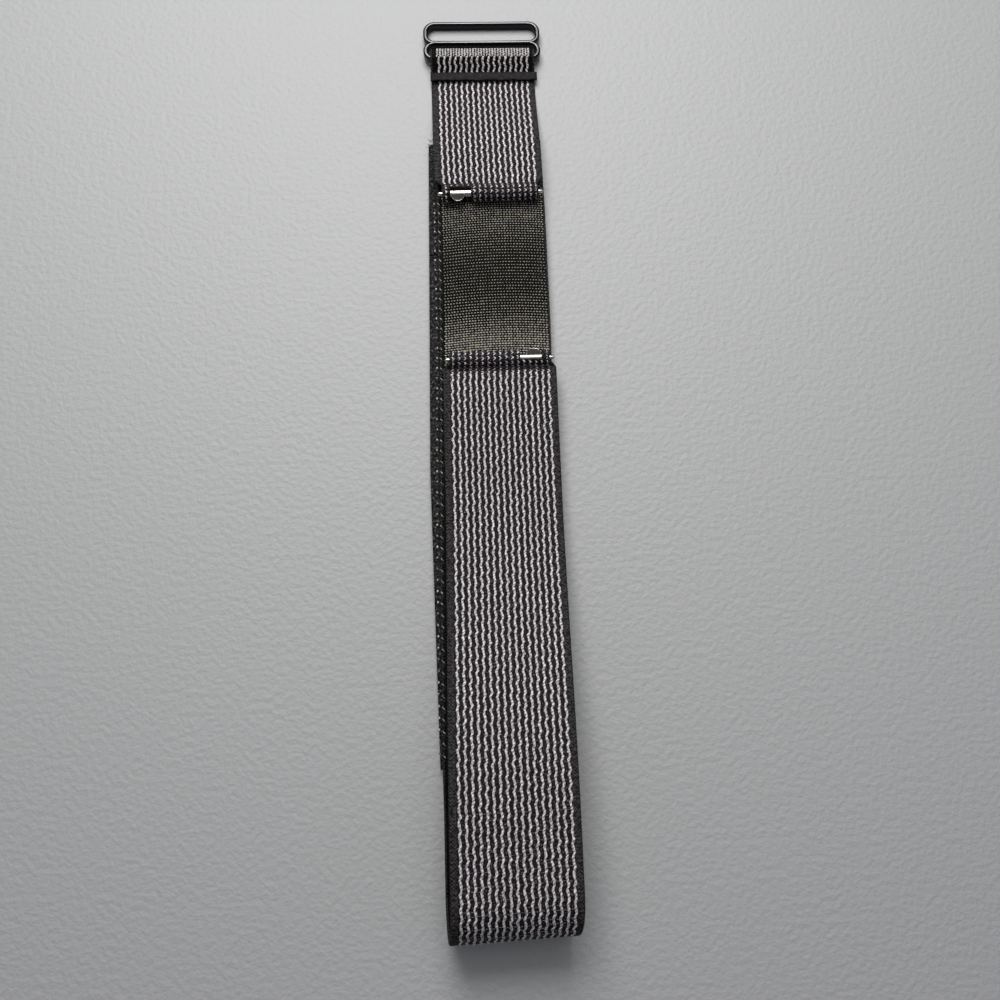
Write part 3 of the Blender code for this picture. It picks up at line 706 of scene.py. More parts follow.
yarns = {
    "sink": 0.05,
    "run": {"period": 2.25, "swing": 0.115, "bend": 0.30, "halfWidth": 0.25, "rise": 0.16, "dip": 0.30,
            "lean": 0.0, "points": 16},
    "loop": {"period": 0.80, "swing": 0.20, "bend": 0.0, "halfWidth": 0.19, "rise": 0.09, "dip": 0.2,
             "lean": 1.5, "points": 12},
    "tab": {"period": 1.9, "swing": 0.12, "bend": 0.2, "halfWidth": 0.25, "rise": 0.14, "dip": 0.20,
            "lean": 0.0, "points": 14},
    "frontLead": 1.1,  # the long strap's arrowheads start so far before its groove
    "endMargin": 0.3,
    "windowGap": 0.25,
    "tapeGap": 0.8,
}


def yarnPiece(name, line, columns, start, end, style="run", side=1):
    # A half round yarn on the webbing's face. It snakes as a sine with half as long a one added, its phase and
    # its swing drifting slowly, and sinks a little at each turn, where a cross thread holds it down. With lean
    # it dives under the ground at each left turn, so that only arrowheads show.
    look = yarns[style]
    k = np.asarray(columns)[:, None, None]
    s = steps(start, end, look["period"] / look["points"])[None, :, None]
    drift = 0.5 * np.sin(s / 17.0 + 0.7 * k) + 0.35 * np.sin(s / 4.1 + 2.3 * k + 1.0)
    turn = 2 * math.pi * s / look["period"] + drift * min(1.0, look["period"]) + 0.25 * np.sin(1.9 * k)
    sway = 1 + 0.35 * np.sin(s / 2.7 + 1.3 * k) * np.sin(s / 5.9 + 2.9 * k)
    snake = (np.sin(turn) + look["bend"] * np.sin(2 * turn + 0.9 * np.sin(s / 3.3 + k))) * sway
    wide = look["halfWidth"] * (1 + 0.12 * np.sin(1.7 * turn + k) + 0.08 * np.sin(5.3 * s + 1.9 * k))
    dive = look["lean"] * (0.5 - 0.5 * np.sin(turn)) ** 1.5
    high = look["rise"] * (1 - look["dip"] * np.abs(np.sin(turn)) ** 3 - dive)
    high = np.maximum(high, 0.01 - yarns["sink"])
    ring = np.radians(np.linspace(0, 180, 6))[None, None, :]
    across = columnAt[k] + look["swing"] * snake + wide * np.cos(ring)
    out = side * (half - yarns["sink"] + (high + yarns["sink"]) * np.sin(ring))
    uv = spots(np.linspace(0, 1.0, 7)[None, None, :] + 1.37 * k, s)
    return meshPiece(name, placeOn(line, s, across, out), uv, [finishes["pale"]])


def dashPiece(name, line, across, along, halfLong, halfWide, turn, rise, side, finish, base=0.0):
    # Short floats of yarn: low domes, each an ellipse turned by its angle, in three rings up to its crown.
    across, along, halfLong, halfWide, turn, rise = (
        v.reshape(-1, 1, 1) for v in np.broadcast_arrays(across, along, halfLong, halfWide, turn, rise))
    level = np.radians([0, 45, 80])[None, :, None]
    spin = np.linspace(0, 2 * math.pi, 9)[:-1][None, None]
    u, v = halfLong * np.cos(level) * np.cos(spin), halfWide * np.cos(level) * np.sin(spin)
    x = across + u * np.cos(turn) - v * np.sin(turn)
    s = along + u * np.sin(turn) + v * np.cos(turn)
    points = placeOn(line, s, x, side * (half + base - 0.02 + (rise + 0.02) * np.sin(level)))
    uv = spots(across * 2.1 + np.linspace(0, 1, 9)[None, None], along * 1.7 + level)
    return meshPiece(name, points, uv, [finish])


def barYarns(name, line, window, runEnd, groove, loopEnd):
    # The run's yarns, and the loop's, which start at the groove. Some stop at the lever's window.
    first, last, low, high = window
    cut = (columnAt > low - yarns["windowGap"]) & (columnAt < high + yarns["windowGap"])
    spans = sorted([groove, loopEnd])
    return joined(name, [
        yarnPiece(name + "Run", line, allColumns, *sorted([runEnd, groove])),
        yarnPiece(name + "A", line, allColumns[~cut], *spans, style="loop"),
        yarnPiece(name + "B", line, allColumns[cut], spans[0], first - 0.1, style="loop"),
        yarnPiece(name + "C", line, allColumns[cut], last + 0.1, spans[1], style="loop")])


tapeFoot = nearest(long, boxOf("loop_tape")[0][1] - yarns["tapeGap"], tailMiddle)
tailYarns = yarnPiece("longTailYarns", long, allColumns, tapeFoot, longMarks["foldStart"])
lowerYarns = yarnPiece("longFoldLowerYarns", long, allColumns, *lowerSpan)
upperYarns = yarnPiece("longFoldUpperYarns", long, allColumns, *upperSpan)
frontYarns = barYarns("longFrontYarns", long, longWindow, longMarks["foldEnd"],
                      longMarks["groove"] - yarns["frontLead"], longMarks["end"] - yarns["endMargin"])
shortYarns = barYarns("shortStrapYarns", short, shortWindow, nearest(short, buckleBar[1] - buckle["bar"] / 2, half),
                      shortGroove, yarns["endMargin"])
dress(tailYarns, body="tail")
dress(lowerYarns, blend=lowerBend)
dress(upperYarns, blend=upperBend)
dress(frontYarns, body="front_run")
dress(shortYarns, body="short_strap")


wrapWeave = {
    "from": 20,  # degrees round the wrap, from straight behind the bar
    "to": 111,
    "stripesFrom": 113,
    "pitch": 0.46,
    "aside": 0.29,
    "halfLong": 0.35,
    "halfWide": 0.18,
    "slant": 50,
    "rise": 0.11,
}


def wrapAlong(degrees):
    # where the wrap's middle line stands at so many degrees, from straight behind the bar over its top
    turn = math.radians(degrees)
    return nearest(short, wrapCentre[0] + wrapRadius * math.cos(turn), wrapCentre[1] + wrapRadius * math.sin(turn))


def herringbone():
    # the bend's floats, two slanting ones for each column in every row
    rows = np.arange(wrapAlong(wrapWeave["from"]), wrapAlong(wrapWeave["to"]), wrapWeave["pitch"])
    side = np.array([-1.0, 1.0])[None, None]
    size = np.random.default_rng(4).uniform(0.85, 1.2, (len(rows), weave["columns"], 2))
    return dashPiece("wrapFloats", short, columnAt[None, :, None] + wrapWeave["aside"] * side, rows[:, None, None],
                     wrapWeave["halfLong"] * size, wrapWeave["halfWide"] * size,
                     math.radians(wrapWeave["slant"]) * side, wrapWeave["rise"], -1, finishes["pale"])


tabYarns = joined("shortTabYarns", [
    yarnPiece("tabStripes", short, allColumns, wrapAlong(wrapWeave["stripesFrom"]), short["along"][-1] - 0.05,
              style="tab", side=-1),
    herringbone()])
dress(tabYarns, body="short_strap")
print("yarns", [len(p.data.polygons) for p in (frontYarns, shortYarns, tabYarns)])


floats = {
    "first": 29.6,
    "last": -27.0,
    "pitch": 0.587,
    "reach": 10.3,
    "aside": 0.2,
    "rowAt": (-12.0, -9.8, -7.6, -5.5, 3.1, 5.3, 7.5, 9.7, 12.0),  # rows stand widest in the tail's middle
    "rowPitch": (0.50, 0.54, 0.59, 0.62, 0.665, 0.65, 0.60, 0.55, 0.51),
    "arch": 0.65,
    "sizeAt": (-13.5, -10.5, -6.0, 1.0, 6.0, 11.0, 14.5),  # and the floats, which carry painted glints, are made smallest there, as painted shade on the tail
    "sizeShare": (1.25, 1.08, 0.90, 0.78, 0.84, 0.97, 1.02),
    "halfLong": 0.235,
    "halfWide": 0.15,
    "rise": 0.13,
    "base": 0.03,
}


def floatRows():
    # Low domes in straight rows across the tail, which arch a little towards the buckle. Rows are counted by
    # adding up 1 / pitch down the tail, and one stands at each whole number.
    fine = np.arange(floats["first"], floats["last"], -0.05)
    number = np.cumsum(0.05 / np.interp(fine, floats["rowAt"], floats["rowPitch"]))
    row = np.interp(np.arange(1, number[-1]), number, fine)[:, None]
    count = int(2 * floats["reach"] / floats["pitch"])
    x = (np.arange(count)[None] - (count - 1) / 2) * floats["pitch"] + floats["aside"]
    x = x + 0.25 * floats["pitch"] * (np.arange(len(row)) % 2)[:, None]
    y = row + floats["arch"] * (1 - ((x - 1.5) / limit) ** 2)
    rng = np.random.default_rng(11)
    x = x + rng.normal(0, 0.025, x.shape)
    size = rng.uniform(0.85, 1.15, x.shape) * np.interp(y, floats["sizeAt"], floats["sizeShare"])
    tailPart = long["along"] < longMarks["foldStart"]
    along = np.interp(-y, -long["y"][tailPart], long["along"][tailPart])
    return dashPiece("tailFloats", long, x, along, floats["halfLong"] * size, floats["halfWide"] * size,
                     rng.normal(0, 0.08, x.shape), floats["rise"], -1, finishes["float"], floats["base"])


tailFloats = floatRows()
dress(tailFloats, body="tail")


ties = {
    "pitch": 0.75,
    "shares": (1.6, 0.45, 0.45),  # every third row shows most
    "halfLong": (0.25, 0.42),
    "halfWide": 0.05,
    "rise": 0.07,
    "foldEnd": 16,  # they show well so far behind the fold, and seldom further on
    "foldChance": 0.6,
    "nearChance": 0.5,
    "runChance": 0.10,
}


def weftTies(name, start, end, chance):
    # cross threads that show between the pale yarns, most of all where the fold stretches the weave open
    rows = np.arange(start, end, ties["pitch"])
    rng = np.random.default_rng(8)
    rowGrid, gap = np.meshgrid(rows, (columnAt[1:] + columnAt[:-1]) / 2, indexing="ij")
    shown = rng.random(rowGrid.shape) < chance * np.resize(ties["shares"], len(rows))[:, None]
    count = int(shown.sum())
    return dashPiece(name, long, gap[shown] + rng.normal(0, 0.05, count), rowGrid[shown] + rng.normal(0, 0.04, count),
                     rng.uniform(*ties["halfLong"], count), ties["halfWide"], rng.normal(0, 0.08, count),
                     ties["rise"], 1, finishes["tie"])


upperTies = weftTies("longFoldUpperTies", longMarks["foldMiddle"] + 2.0, longMarks["foldEnd"] - 0.4, ties["foldChance"])
nearFold = longMarks["foldEnd"] + ties["foldEnd"]
frontTies = joined("longFrontTies", [
    weftTies("nearFoldTies", longMarks["foldEnd"] + 0.4, nearFold, ties["nearChance"]),
    weftTies("runTies", nearFold + 0.4, longMarks["groove"] - 1, ties["runChance"])])
dress(upperTies, blend=upperBend)
dress(frontTies, body="front_run")
print("floats", len(tailFloats.data.polygons), len(frontTies.data.polygons))


def fusedPiece(name, low, high, z, aside=0.0, widen=0.0, skew=0.0):
    # A bar of melted webbing across the strap, its edges round and its surface faintly rippled: the section is
    # carried along the strap, and its height falls off towards both ends as a rounded square.
    y = steps(high[1], low[1], 0.1)[:, None]
    wide, cap = (high[0] - low[0] + widen) / 2, (high[2] - low[2]) / 2
    ring, _ = bandSection(-wide, wide, cap, fused["flatPoints"], fused["flatPoints"], fused["bendPoints"])
    across, out = ring.T[:, None]
    share = np.linspace(-1, 1, len(y))[:, None]
    crown = np.sqrt(1 - 0.55 * np.abs(share) ** 4)
    ribs = np.sin(2 * math.pi * across / fused["ribMm"]) * (np.abs(out) > cap * 0.98)
    ripples = fused["ripple"] * (ribs + np.sin(across * 0.9))
    level = z + (out + np.sign(out) * (ripples - fused["sink"])) * crown
    wander = 0.06 * np.sin(across * 1.3) + 0.04 * np.sin(across * 3.1 + 1)
    points = spots((low[0] + high[0]) / 2 + aside + across, y + wander * share + skew * across, level)[None]
    return meshPiece(name, points, ringMap(ring, y), [finishes["fused"]], sharp=50)


bandLow, bandHigh = boxOf("short_strap_end_band")
endBand = fusedPiece("shortEndBand", bandLow, bandHigh, (bandLow[2] + bandHigh[2]) / 2 + buckle["tabRise"],
                     0.2, 0.5, strap["buckleSkew"])
dress(endBand, "short_strap_end_band", "short_strap")
tailSeal = fusedPiece("tailSeal", *boxOf("tail_end_seal"), tailMiddle)
dress(tailSeal, "tail_end_seal", "tail")


tape = {
    "width": 23.9,
    "top": 1.9,
    "hookBase": 0.95,  # the pile stands below this height
    "loopBase": 0.85,
    "at": (-31.0, 0, 40, 94.8),  # how far the tape's middle stands aside, at distances towards the fold
    "aside": (-1.3, -1.6, -2.0, -1.0),
    "tuck": 0.75,  # the right edge draws in by so much at the tip
    "tuckAt": (8, 26),
    "basketMm": 0.62,
    "basketRelief": 0.035,
    "underRelief": 0.03,
    "edgeRelief": 0.05,
    "flatPoints": 97,
    "bendPoints": 5,
}


def tapeCentre(y):
    return np.interp(-y, tape["at"], tape["aside"])


def tapePiece(name, low, high, finish, base):
    # A thin woven tape with round edges, its top in a fine basket weave, sin across by cos along, and its
    # underside soft.
    y = steps(high[1], low[1], 0.3)[:, None]
    cap = (tape["top"] - base) / 2
    ring, _ = bandSection(-tape["width"] / 2, tape["width"] / 2, cap, tape["flatPoints"], tape["flatPoints"],
                          tape["bendPoints"])
    across, out = ring.T[:, None]
    wide = tape["width"] / 2 - cap
    acrossTurn, alongTurn = (2 * math.pi * v / tape["basketMm"] for v in (across, y))
    basket = tape["basketRelief"] * (np.sin(acrossTurn) * np.cos(alongTurn) - 1)
    rough = tape["underRelief"] * np.sin(across * 5.1 + y * 1.7) * np.cos(y * 4.3 - across)
    level = (tape["top"] + base) / 2 + out + np.where(out > 0, basket, rough)
    edge = tape["edgeRelief"] * np.sin(alongTurn) * (np.abs(across) > wide) * np.sign(across)
    tucked = tape["tuck"] * smoothShare(y, *tape["tuckAt"]) * np.clip(across / wide, 0, 1)
    points = spots(tapeCentre(y) + across + edge - tucked, y, level)[None]
    return meshPiece(name, points, ringMap(ring, y), [finish])


hookLow, hookHigh = boxOf("hook_tape")
loopLow, loopHigh = boxOf("loop_tape")
hookTape = tapePiece("hookTape", hookLow, hookHigh, finishes["hook"], tape["hookBase"])
loopTape = tapePiece("loopTape", loopLow, loopHigh, finishes["loop"], tape["loopBase"])


def pileGrid(low, high, look):
    # where the hooks or loops of a tape stand: from its middle, and along the strap
    rows = int((high[1] - low[1] - look["margin"]) / look["pitch"][1])
    x, y = np.meshgrid(np.arange(look["columns"]) - (look["columns"] - 1) / 2, np.arange(rows) + 0.5)
    return (x * look["pitch"][0]).ravel(), low[1] + look["foot"] + (y * look["pitch"][1]).ravel()


hooks = {
    "columns": 17,
    "pitch": (1.25, 1.15),
    "margin": 1.2,
    "foot": 0.5,
    "radius": 0.075,
    "crook": 0.2,
    "stem": (0.75, 0.3),
    "height": 0.28,
}


def hookField():
    # Rows of small hooks: each a thin stem that bends over into a crook, worked out as one arc.
    x, y = pileGrid(hookLow, hookHigh, hooks)
    x = x + tapeCentre(y)
    turn = np.radians(np.linspace(90, -130, 6))[1:]
    reach = np.append([0.0, 0.0], hooks["crook"] * np.cos(turn))[None]
    level = np.append(hooks["stem"], -hooks["crook"] * np.sin(turn))[None]
    lean = np.where((np.arange(len(x)) % 2) == 0, 1.0, -1.0)[:, None]
    routes = spots(x[:, None] + reach * lean, y[:, None], np.maximum(hooks["height"] + level, hooks["radius"]))
    return tubePiece("hookPile", routes, hooks["radius"], 4, finishes["hook"])


loops = {
    "columns": 19,
    "pitch": (1.2, 1.2),
    "margin": 1.6,
    "foot": 0.8,
    "stray": 0.2,
    "reach": 0.5,
    "depth": 0.82,
    "radius": 0.06,
}


def loopField():
    # Soft loops, each half an ellipse standing under the tape, turned at random.
    rng = np.random.default_rng(5)
    x, y = pileGrid(loopLow, loopHigh, loops)
    y = y + rng.uniform(-loops["stray"], loops["stray"], len(y))
    x = x + tapeCentre(y) + rng.uniform(-loops["stray"], loops["stray"], len(x))
    turn = np.radians(np.linspace(0, 180, 6))[None]
    lean = rng.uniform(0, math.pi, len(x))[:, None]
    reach = loops["reach"] * np.cos(turn)
    routes = spots(x[:, None] + reach * np.cos(lean), y[:, None] + reach * np.sin(lean),
                   tape["hookBase"] - 0.02 - loops["depth"] * np.sin(turn))
    return tubePiece("loopPile", routes, loops["radius"], 4, finishes["loop"])


hookPile, loopPile = hookField(), loopField()
dress(hookTape, "hook_tape", "tail")
dress(hookPile, body="tail")
dress(loopTape, "loop_tape", "tail")
dress(loopPile, body="tail")
print("tapes", len(hookPile.data.polygons), len(loopPile.data.polygons))


sewing = {
    "pitch": 2.1,
    "width": 1.2,
    "outer": 0.55,
    "tip": 31.0,
    "tipMargin": 1.2,
    "rightMargin": 0.8,
    "radius": 0.10,
    "gap": 0.03,
    "hemAt": (-0.22, 0.06),  # where the thread climbs from the tape to the webbing
    "underDrop": 0.09,
    "pressed": 0.06,
    "bead": {"radius": 0.17, "half": 0.085, "lift": 0.05, "dip": 0.20, "stray": 0.03},  # it bulges from the tape
    "dash": {"radius": 0.075, "half": 0.13, "at": 0.24, "out": 0.36, "slant": 0.24, "dip": 0.16, "stray": 0.04},
    "grooveReach": 0.10,
}
tailTop = tailMiddle + half


def stitchY(share):
    return sewing["tip"] - sewing["tipMargin"] - share * sewing["pitch"]


def zigzag(perStitch):
    # stitches counted from the tip, and how far the thread has swung across in each: 0.5 - 0.5 cos
    count = int((sewing["tip"] - loopLow[1] - 2 * sewing["tipMargin"]) / sewing["pitch"])
    share = np.linspace(0, count, count * perStitch + 1)
    return share, 0.5 - 0.5 * np.cos(2 * math.pi * share)


def seamPoint(share, out, lift):
    # a point of the left seam: so many stitches from the tip, and so far inside the webbing's edge
    y = stitchY(share)
    low = tape["top"] + sewing["gap"] + sewing["radius"]
    high = tailTop + sewing["gap"] + sewing["radius"]
    return spots(tailCentre(y) - limit + out, y, low + (high - low) * smoothShare(out, *sewing["hemAt"]) + lift)


def leftSeam():
    # A black thread goes out to the tape and back over the selvage once in each stitch. On top of it, a bead where it
    # comes up through the tape and a short slanting dash on the webbing are coloured pale, as painted highlights for
    # its glints.
    share, swing = zigzag(24)
    out = -sewing["outer"] + sewing["width"] * np.clip(1.12 * (swing - 0.5) + 0.5, 0, 1)
    under = tubePiece("seamUnder", seamPoint(share, out, -sewing["underDrop"])[None], 0.6 * sewing["radius"], 6,
                      finishes["darkThread"])
    hidden = int((sewing["tip"] - sewing["tipMargin"] - shortBar[1]) / sewing["pitch"]) + 1
    stitch = np.arange(hidden, int(share[-1]) + 1)[:, None]
    arch = np.linspace(-1, 1, 9)[None]
    rng = np.random.default_rng(12)
    look = sewing["bead"]
    route = seamPoint(stitch + look["half"] * arch, -sewing["outer"] + rng.normal(0, look["stray"], stitch.shape),
                      look["lift"] - look["dip"] * arch ** 2)
    bead = tubePiece("seamBeads", route, look["radius"] * (1 - 0.5 * arch ** 4), 8, finishes["thread"])
    look = sewing["dash"]
    route = seamPoint(stitch + look["at"] + look["half"] * arch,
                      look["out"] + look["slant"] * arch + rng.normal(0, look["stray"], stitch.shape),
                      -look["dip"] * arch ** 4)
    dash = tubePiece("seamDashes", route, look["radius"] * (1 - 0.3 * arch ** 4), 6, finishes["thread"])
    return joined("tailSeamLeft", [under, bead, dash])


def rightSeam():
    # the same stitch, black and pressed into the selvage
    share, swing = zigzag(16)
    y = stitchY(share)
    route = spots(tailCentre(y) + limit - sewing["rightMargin"] - sewing["width"] * swing, y,
                  tailTop + sewing["gap"] + sewing["radius"] - sewing["pressed"])
    return tubePiece("tailSeamRight", route[None], sewing["radius"] * 0.8, 6, finishes["darkThread"])


def grooveSeam(name, node):
    # stitches in the groove, each a short arch that dips at its ends
    low, high = boxOf(node)
    count = int(round((high[0] - low[0]) / sewing["width"]))
    share = np.linspace(0, count, count * 12 + 1)
    route = spots(low[0] + (high[0] - low[0]) * share / count,
                  (low[1] + high[1]) / 2 + sewing["grooveReach"] * np.sin(2 * math.pi * share),
                  low[2] + sewing["radius"] * 0.6
                  + (high[2] - low[2] - 1.4 * sewing["radius"]) * np.abs(np.sin(math.pi * share)))
    return tubePiece(name, route[None], sewing["radius"] * 0.9, 6, finishes["darkThread"])


dress(leftSeam(), "tail_seam_left", "tail")
dress(rightSeam(), "tail_seam_right", "tail")
for name, node, body in (("shortBarSeam", "short_bar_loop_seam", "short_strap"),
                         ("longBarSeam", "long_bar_loop_seam", "front_run"),
                         ("buckleSeam", "buckle_loop_seam", "short_strap")):
    dress(grooveSeam(name, node), node, body)
print("seams done")


def roundedRing(halfWidth, halfHeight, radius):
    # Points evenly spread along a rectangle with round corners, anticlockwise from the middle of its right side:
    # a circle's centre walks from corner to corner, and at each corner its pointer turns by 90 degrees.
    w, h = halfWidth - radius, halfHeight - radius
    bend = math.pi / 2 * radius
    marks = np.cumsum([0, h, bend, 2 * w, bend, 2 * h, bend, 2 * w, bend, h])
    at = np.linspace(0, marks[-1], buckle["points"] + 1)[:-1]
    x, y, turn = (np.interp(at, marks, values) for values in (
        w * np.array([1, 1, 1, -1, -1, -1, -1, 1, 1, 1]), h * np.array([0, 1, 1, 1, 1, -1, -1, -1, -1, 0]),
        math.pi / 2 * np.array([0, 0, 1, 1, 2, 2, 3, 3, 4, 4])))
    return (x + radius * np.cos(turn))[:, None], (y + radius * np.sin(turn))[:, None]


buckleReach = 1.5 * buckle["bar"] + buckle["strapSlot"] + buckle["freeSlot"] + buckle["bar"]
buckleTop = buckle["thickness"] / 2
buckleTilt = (math.asin((buckleBar[2] - buckle["tableGap"]) / math.hypot(buckleReach, buckleTop))
              - math.atan2(buckleTop, buckleReach))
frameLow, frameHigh = boxOf("buckle_frame")
buckleHalf = (frameHigh[0] - frameLow[0]) / 2 + buckle["widen"]


def framePoint(x, y, z):
    # from the buckle's own plane to its place: tilted about its strap bar until its far edge meets the table
    cos, sin = math.cos(buckleTilt), math.sin(buckleTilt)
    return spots(buckleBar[0] + x + buckle["aside"], buckleBar[1] + y * cos + z * sin + strap["buckleSkew"] * x,
                 buckleBar[2] - y * sin + z * cos)


def buckleRing(name, middle, slotHeight, thinned):
    # The space between an outer and an inner rounded rectangle, as a profile with a flat polished ridge, which also
    # carries a painted highlight, two chamfers on each side and a foot. The near ring thins a hair where the far ring's
    # bar holds it.
    outerX, outerY = roundedRing(buckleHalf, slotHeight / 2 + buckle["bar"], buckle["frameCorner"])
    innerX, innerY = roundedRing(buckleHalf - buckle["wall"], slotHeight / 2, buckle["slotCorner"])
    midX, midY = (outerX + innerX) / 2, (outerY + innerY) / 2
    spanX, spanY = (outerX - innerX) / 2, (outerY - innerY) / 2
    wide = np.hypot(spanX, spanY)
    top, c = buckleTop, buckle["chamfer"]
    # each point of the profile: its share of the half width, its inset in mm, its height
    share, inset, height = np.array([
        (1, 0, -top + c), (1, 0, top - 1.4 * c), (1, c * 0.55, top - 0.45 * c), (0, -buckle["ridge"], top),
        (0, buckle["ridge"], top), (-1, -c * 0.55, top - 0.45 * c), (-1, 0, top - 1.4 * c), (-1, 0, -top + c),
        (-1, -c, -top), (1, c, -top)]).T[:, None]
    thin = 1 - thinned * smoothShare(midY, slotHeight / 2 - 0.3, slotHeight / 2 + 0.2)
    reach = thin * (share * wide - inset)
    points = framePoint(midX + spanX / wide * reach, middle + midY + spanY / wide * reach, thin * height)
    points = np.concatenate([points, points[:1]])[None]
    rows, columns = points.shape[1:3]
    uv = spots(np.linspace(0, 3, columns + 1)[None], np.linspace(0, 60, rows)[:, None])[None]
    crestHighlightFaces = (np.arange(columns) == 3).astype(np.int32)  # the flat along the top, coloured as a painted highlight
    return meshPiece(name, points, uv, [finishes["gunmetal"], finishes["crestHighlight"]], faceFinish=crestHighlightFaces, sharp=50,
                     looped=True)


nearMiddle = (buckle["strapSlot"] + buckle["bar"]) / 2
farMiddle = nearMiddle + (buckle["strapSlot"] + buckle["freeSlot"]) / 2 + buckle["bar"]
buckleFrame = joined("buckleFrame", [buckleRing("buckleFar", farMiddle, buckle["freeSlot"], 0.0),
                                     buckleRing("buckleNear", nearMiddle, buckle["strapSlot"], 0.04)])
dress(buckleFrame, "buckle_frame", "buckle")
print("buckle", len(buckleFrame.data.polygons), round(math.degrees(buckleTilt), 2))


bar = {
    "length": 18.4,
    "tipRadius": 0.4,
    "tipReach": 1.4,
    "shank": 0.5,
    "shoulder": 8.85,
    "segments": 48,
    "travel": 1.2,
    "leverPlace": 6.6,
    "leverWidth": 2.8,
    "leverReach": 1.52,
    "leverBack": 0.16,
    "leverThickness": 0.3,
    "leverLift": 0.94,  # the plate leans on the barrel's shoulder
    "leverRim": 0.065,
    "leverDroop": 25,  # degrees below level
    "stemRadius": 0.19,
    "stem": ((0, 0.45, 0), (0, 0.78, 0), (0, 0.91, 0.03), (0, 0.98, 0.12), (0, 0.99, 0.28), (0, 0.99, 0.55)),
    "springEnds": (-7.11, 5.46),
    "springTurns": 18,
    "springRadius": 0.41,
    "springWire": 0.09,
}


def lathePiece(name, profile, centre, end, finish):
    # a profile of (along, radius) spun about the bar's own axis
    along, radius = np.array(profile, float).T[:, :, None]
    turn = np.linspace(0, 2 * math.pi, bar["segments"] + 1)[:-1][None]
    points = spots(centre[0] + end * along, centre[1] + radius * np.cos(turn), centre[2] + radius * np.sin(turn))
    uv = spots(np.linspace(0, 1, bar["segments"] + 1)[None], along)
    return meshPiece(name, points[None], uv[None], [finish], sharp=35)


def tipProfile(inner):
    # the bar's tip: a rounded nose, a groove, a shoulder and the shank inside the barrel, as (distance in, radius)
    outside, r = bar["length"] / 2 + bar["tipReach"], bar["tipRadius"]
    nose = ((0, 0.24), (0.03, 0.31), (0.08, 0.36), (0.16, r), (1.0, r), (1.04, 0.37), (1.12, 0.37), (1.16, r))
    return [*((outside - back, radius) for back, radius in nose),
            (bar["shoulder"], r), (bar["shoulder"], bar["shank"]), (inner, bar["shank"])]


def leverPiece(name, centre, end, gapSide):
    # A flat thumb plate, half an ellipse, sunk inside a thin round rim, and the bent stem that goes down from it
    # into the barrel's slot.
    wide, back, thick = bar["leverWidth"] / 2, bar["leverBack"], bar["leverThickness"] / 2
    depth = bar["leverReach"] - back
    turn = np.linspace(0, math.pi, 41)
    edge = spots(wide * np.cos(turn), back + depth * np.sin(turn))
    outline = np.concatenate([edge, spots(np.linspace(-wide, wide, 12)[1:-1], back)])
    middle = np.array([0.0, back + 0.42 * depth])

    def placed(points, lift, droop):
        out, up = points[..., 1], points[..., 2] + lift
        return spots(centre[0] + end * bar["leverPlace"] + points[..., 0],
                     centre[1] + gapSide * (out * math.cos(droop) + up * math.sin(droop)),
                     centre[2] + up * math.cos(droop) - out * math.sin(droop))[None]

    lean = bar["leverLift"], math.radians(bar["leverDroop"])
    # each ring of the plate: its share of the outline, its height
    share, level = np.array([
        (0.30, -thick), (0.95, -thick), (1.0, 0.06 - thick), (1.0, thick - 0.05), (0.97, thick - 0.02),
        (0.90, thick - 0.02), (0.86, thick - 0.08), (0.30, thick - 0.08)]).T[:, :, None]
    x, y = (middle + (outline - middle) * share[..., None]).transpose(2, 0, 1)
    uv = spots(np.linspace(0, 3, len(outline) + 1)[None], np.linspace(0, 1, len(share))[:, None])[None]
    plate = meshPiece(name, placed(spots(x, y, level), *lean), uv, [finishes["lever"]], sharp=30)
    rimLine = spots(*(edge * (0.96, 1.0) - (0, 0.04)).T, thick - 0.03)
    rim = tubePiece(name + "Rim", placed(rimLine, *lean), bar["leverRim"], 6, finishes["steel"])
    stem = tubePiece(name + "Stem", placed(np.array(bar["stem"]), 0, 0), bar["stemRadius"], 8, finishes["lever"])
    return joined(name, [plate, stem, rim])


def springPiece(name, centre, end, body):
    # a coil: a circle about the bar's axis that advances evenly
    start, stop = bar["springEnds"]
    share = np.linspace(0, 1, bar["springTurns"] * 14 + 1)
    turn = 2 * math.pi * bar["springTurns"] * share
    route = spots(centre[0] + end * (start + (stop - start) * share),
                  centre[1] + bar["springRadius"] * np.cos(turn), centre[2] + bar["springRadius"] * np.sin(turn))
    piece = tubePiece(name, route[None], bar["springWire"], 6, finishes["steel"])
    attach(piece, body)
    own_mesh(piece)
    return piece


def springBar(prefix, node, centre, end, gapSide):
    sliding = lathePiece(prefix + "SlidingTip", tipProfile(bar["leverPlace"] - 1.0), centre, end, finishes["steel"])
    fixed = lathePiece(prefix + "FixedTip", tipProfile(bar["shoulder"] - 1.6), centre, -end, finishes["steel"])
    lever = leverPiece(prefix + "Lever", centre, end, gapSide)
    spring = springPiece(prefix + "Spring", centre, end, node)
    dress(sliding, node + "_sliding_tip", node + "_plunger")
    dress(fixed, node + "_fixed_tip", node)
    dress(lever, node + "_release_lever", node + "_plunger")
    dress(spring, node + "_coil_spring")
    frame["nodes"][node + "_barrel"].material_slots[0].material = finishes["steel"]


springBar("shortBar", "short_bar", shortBar, -1, -1)
springBar("longBar", "long_bar", longBar, 1, 1)
print("bars done")


fibres = {
    "heading": (60, 200),  # degrees
    "curl": (-120, 120),
    "length": (0.5, 1.1),
    "radius": 0.035,
    "points": 12,
}


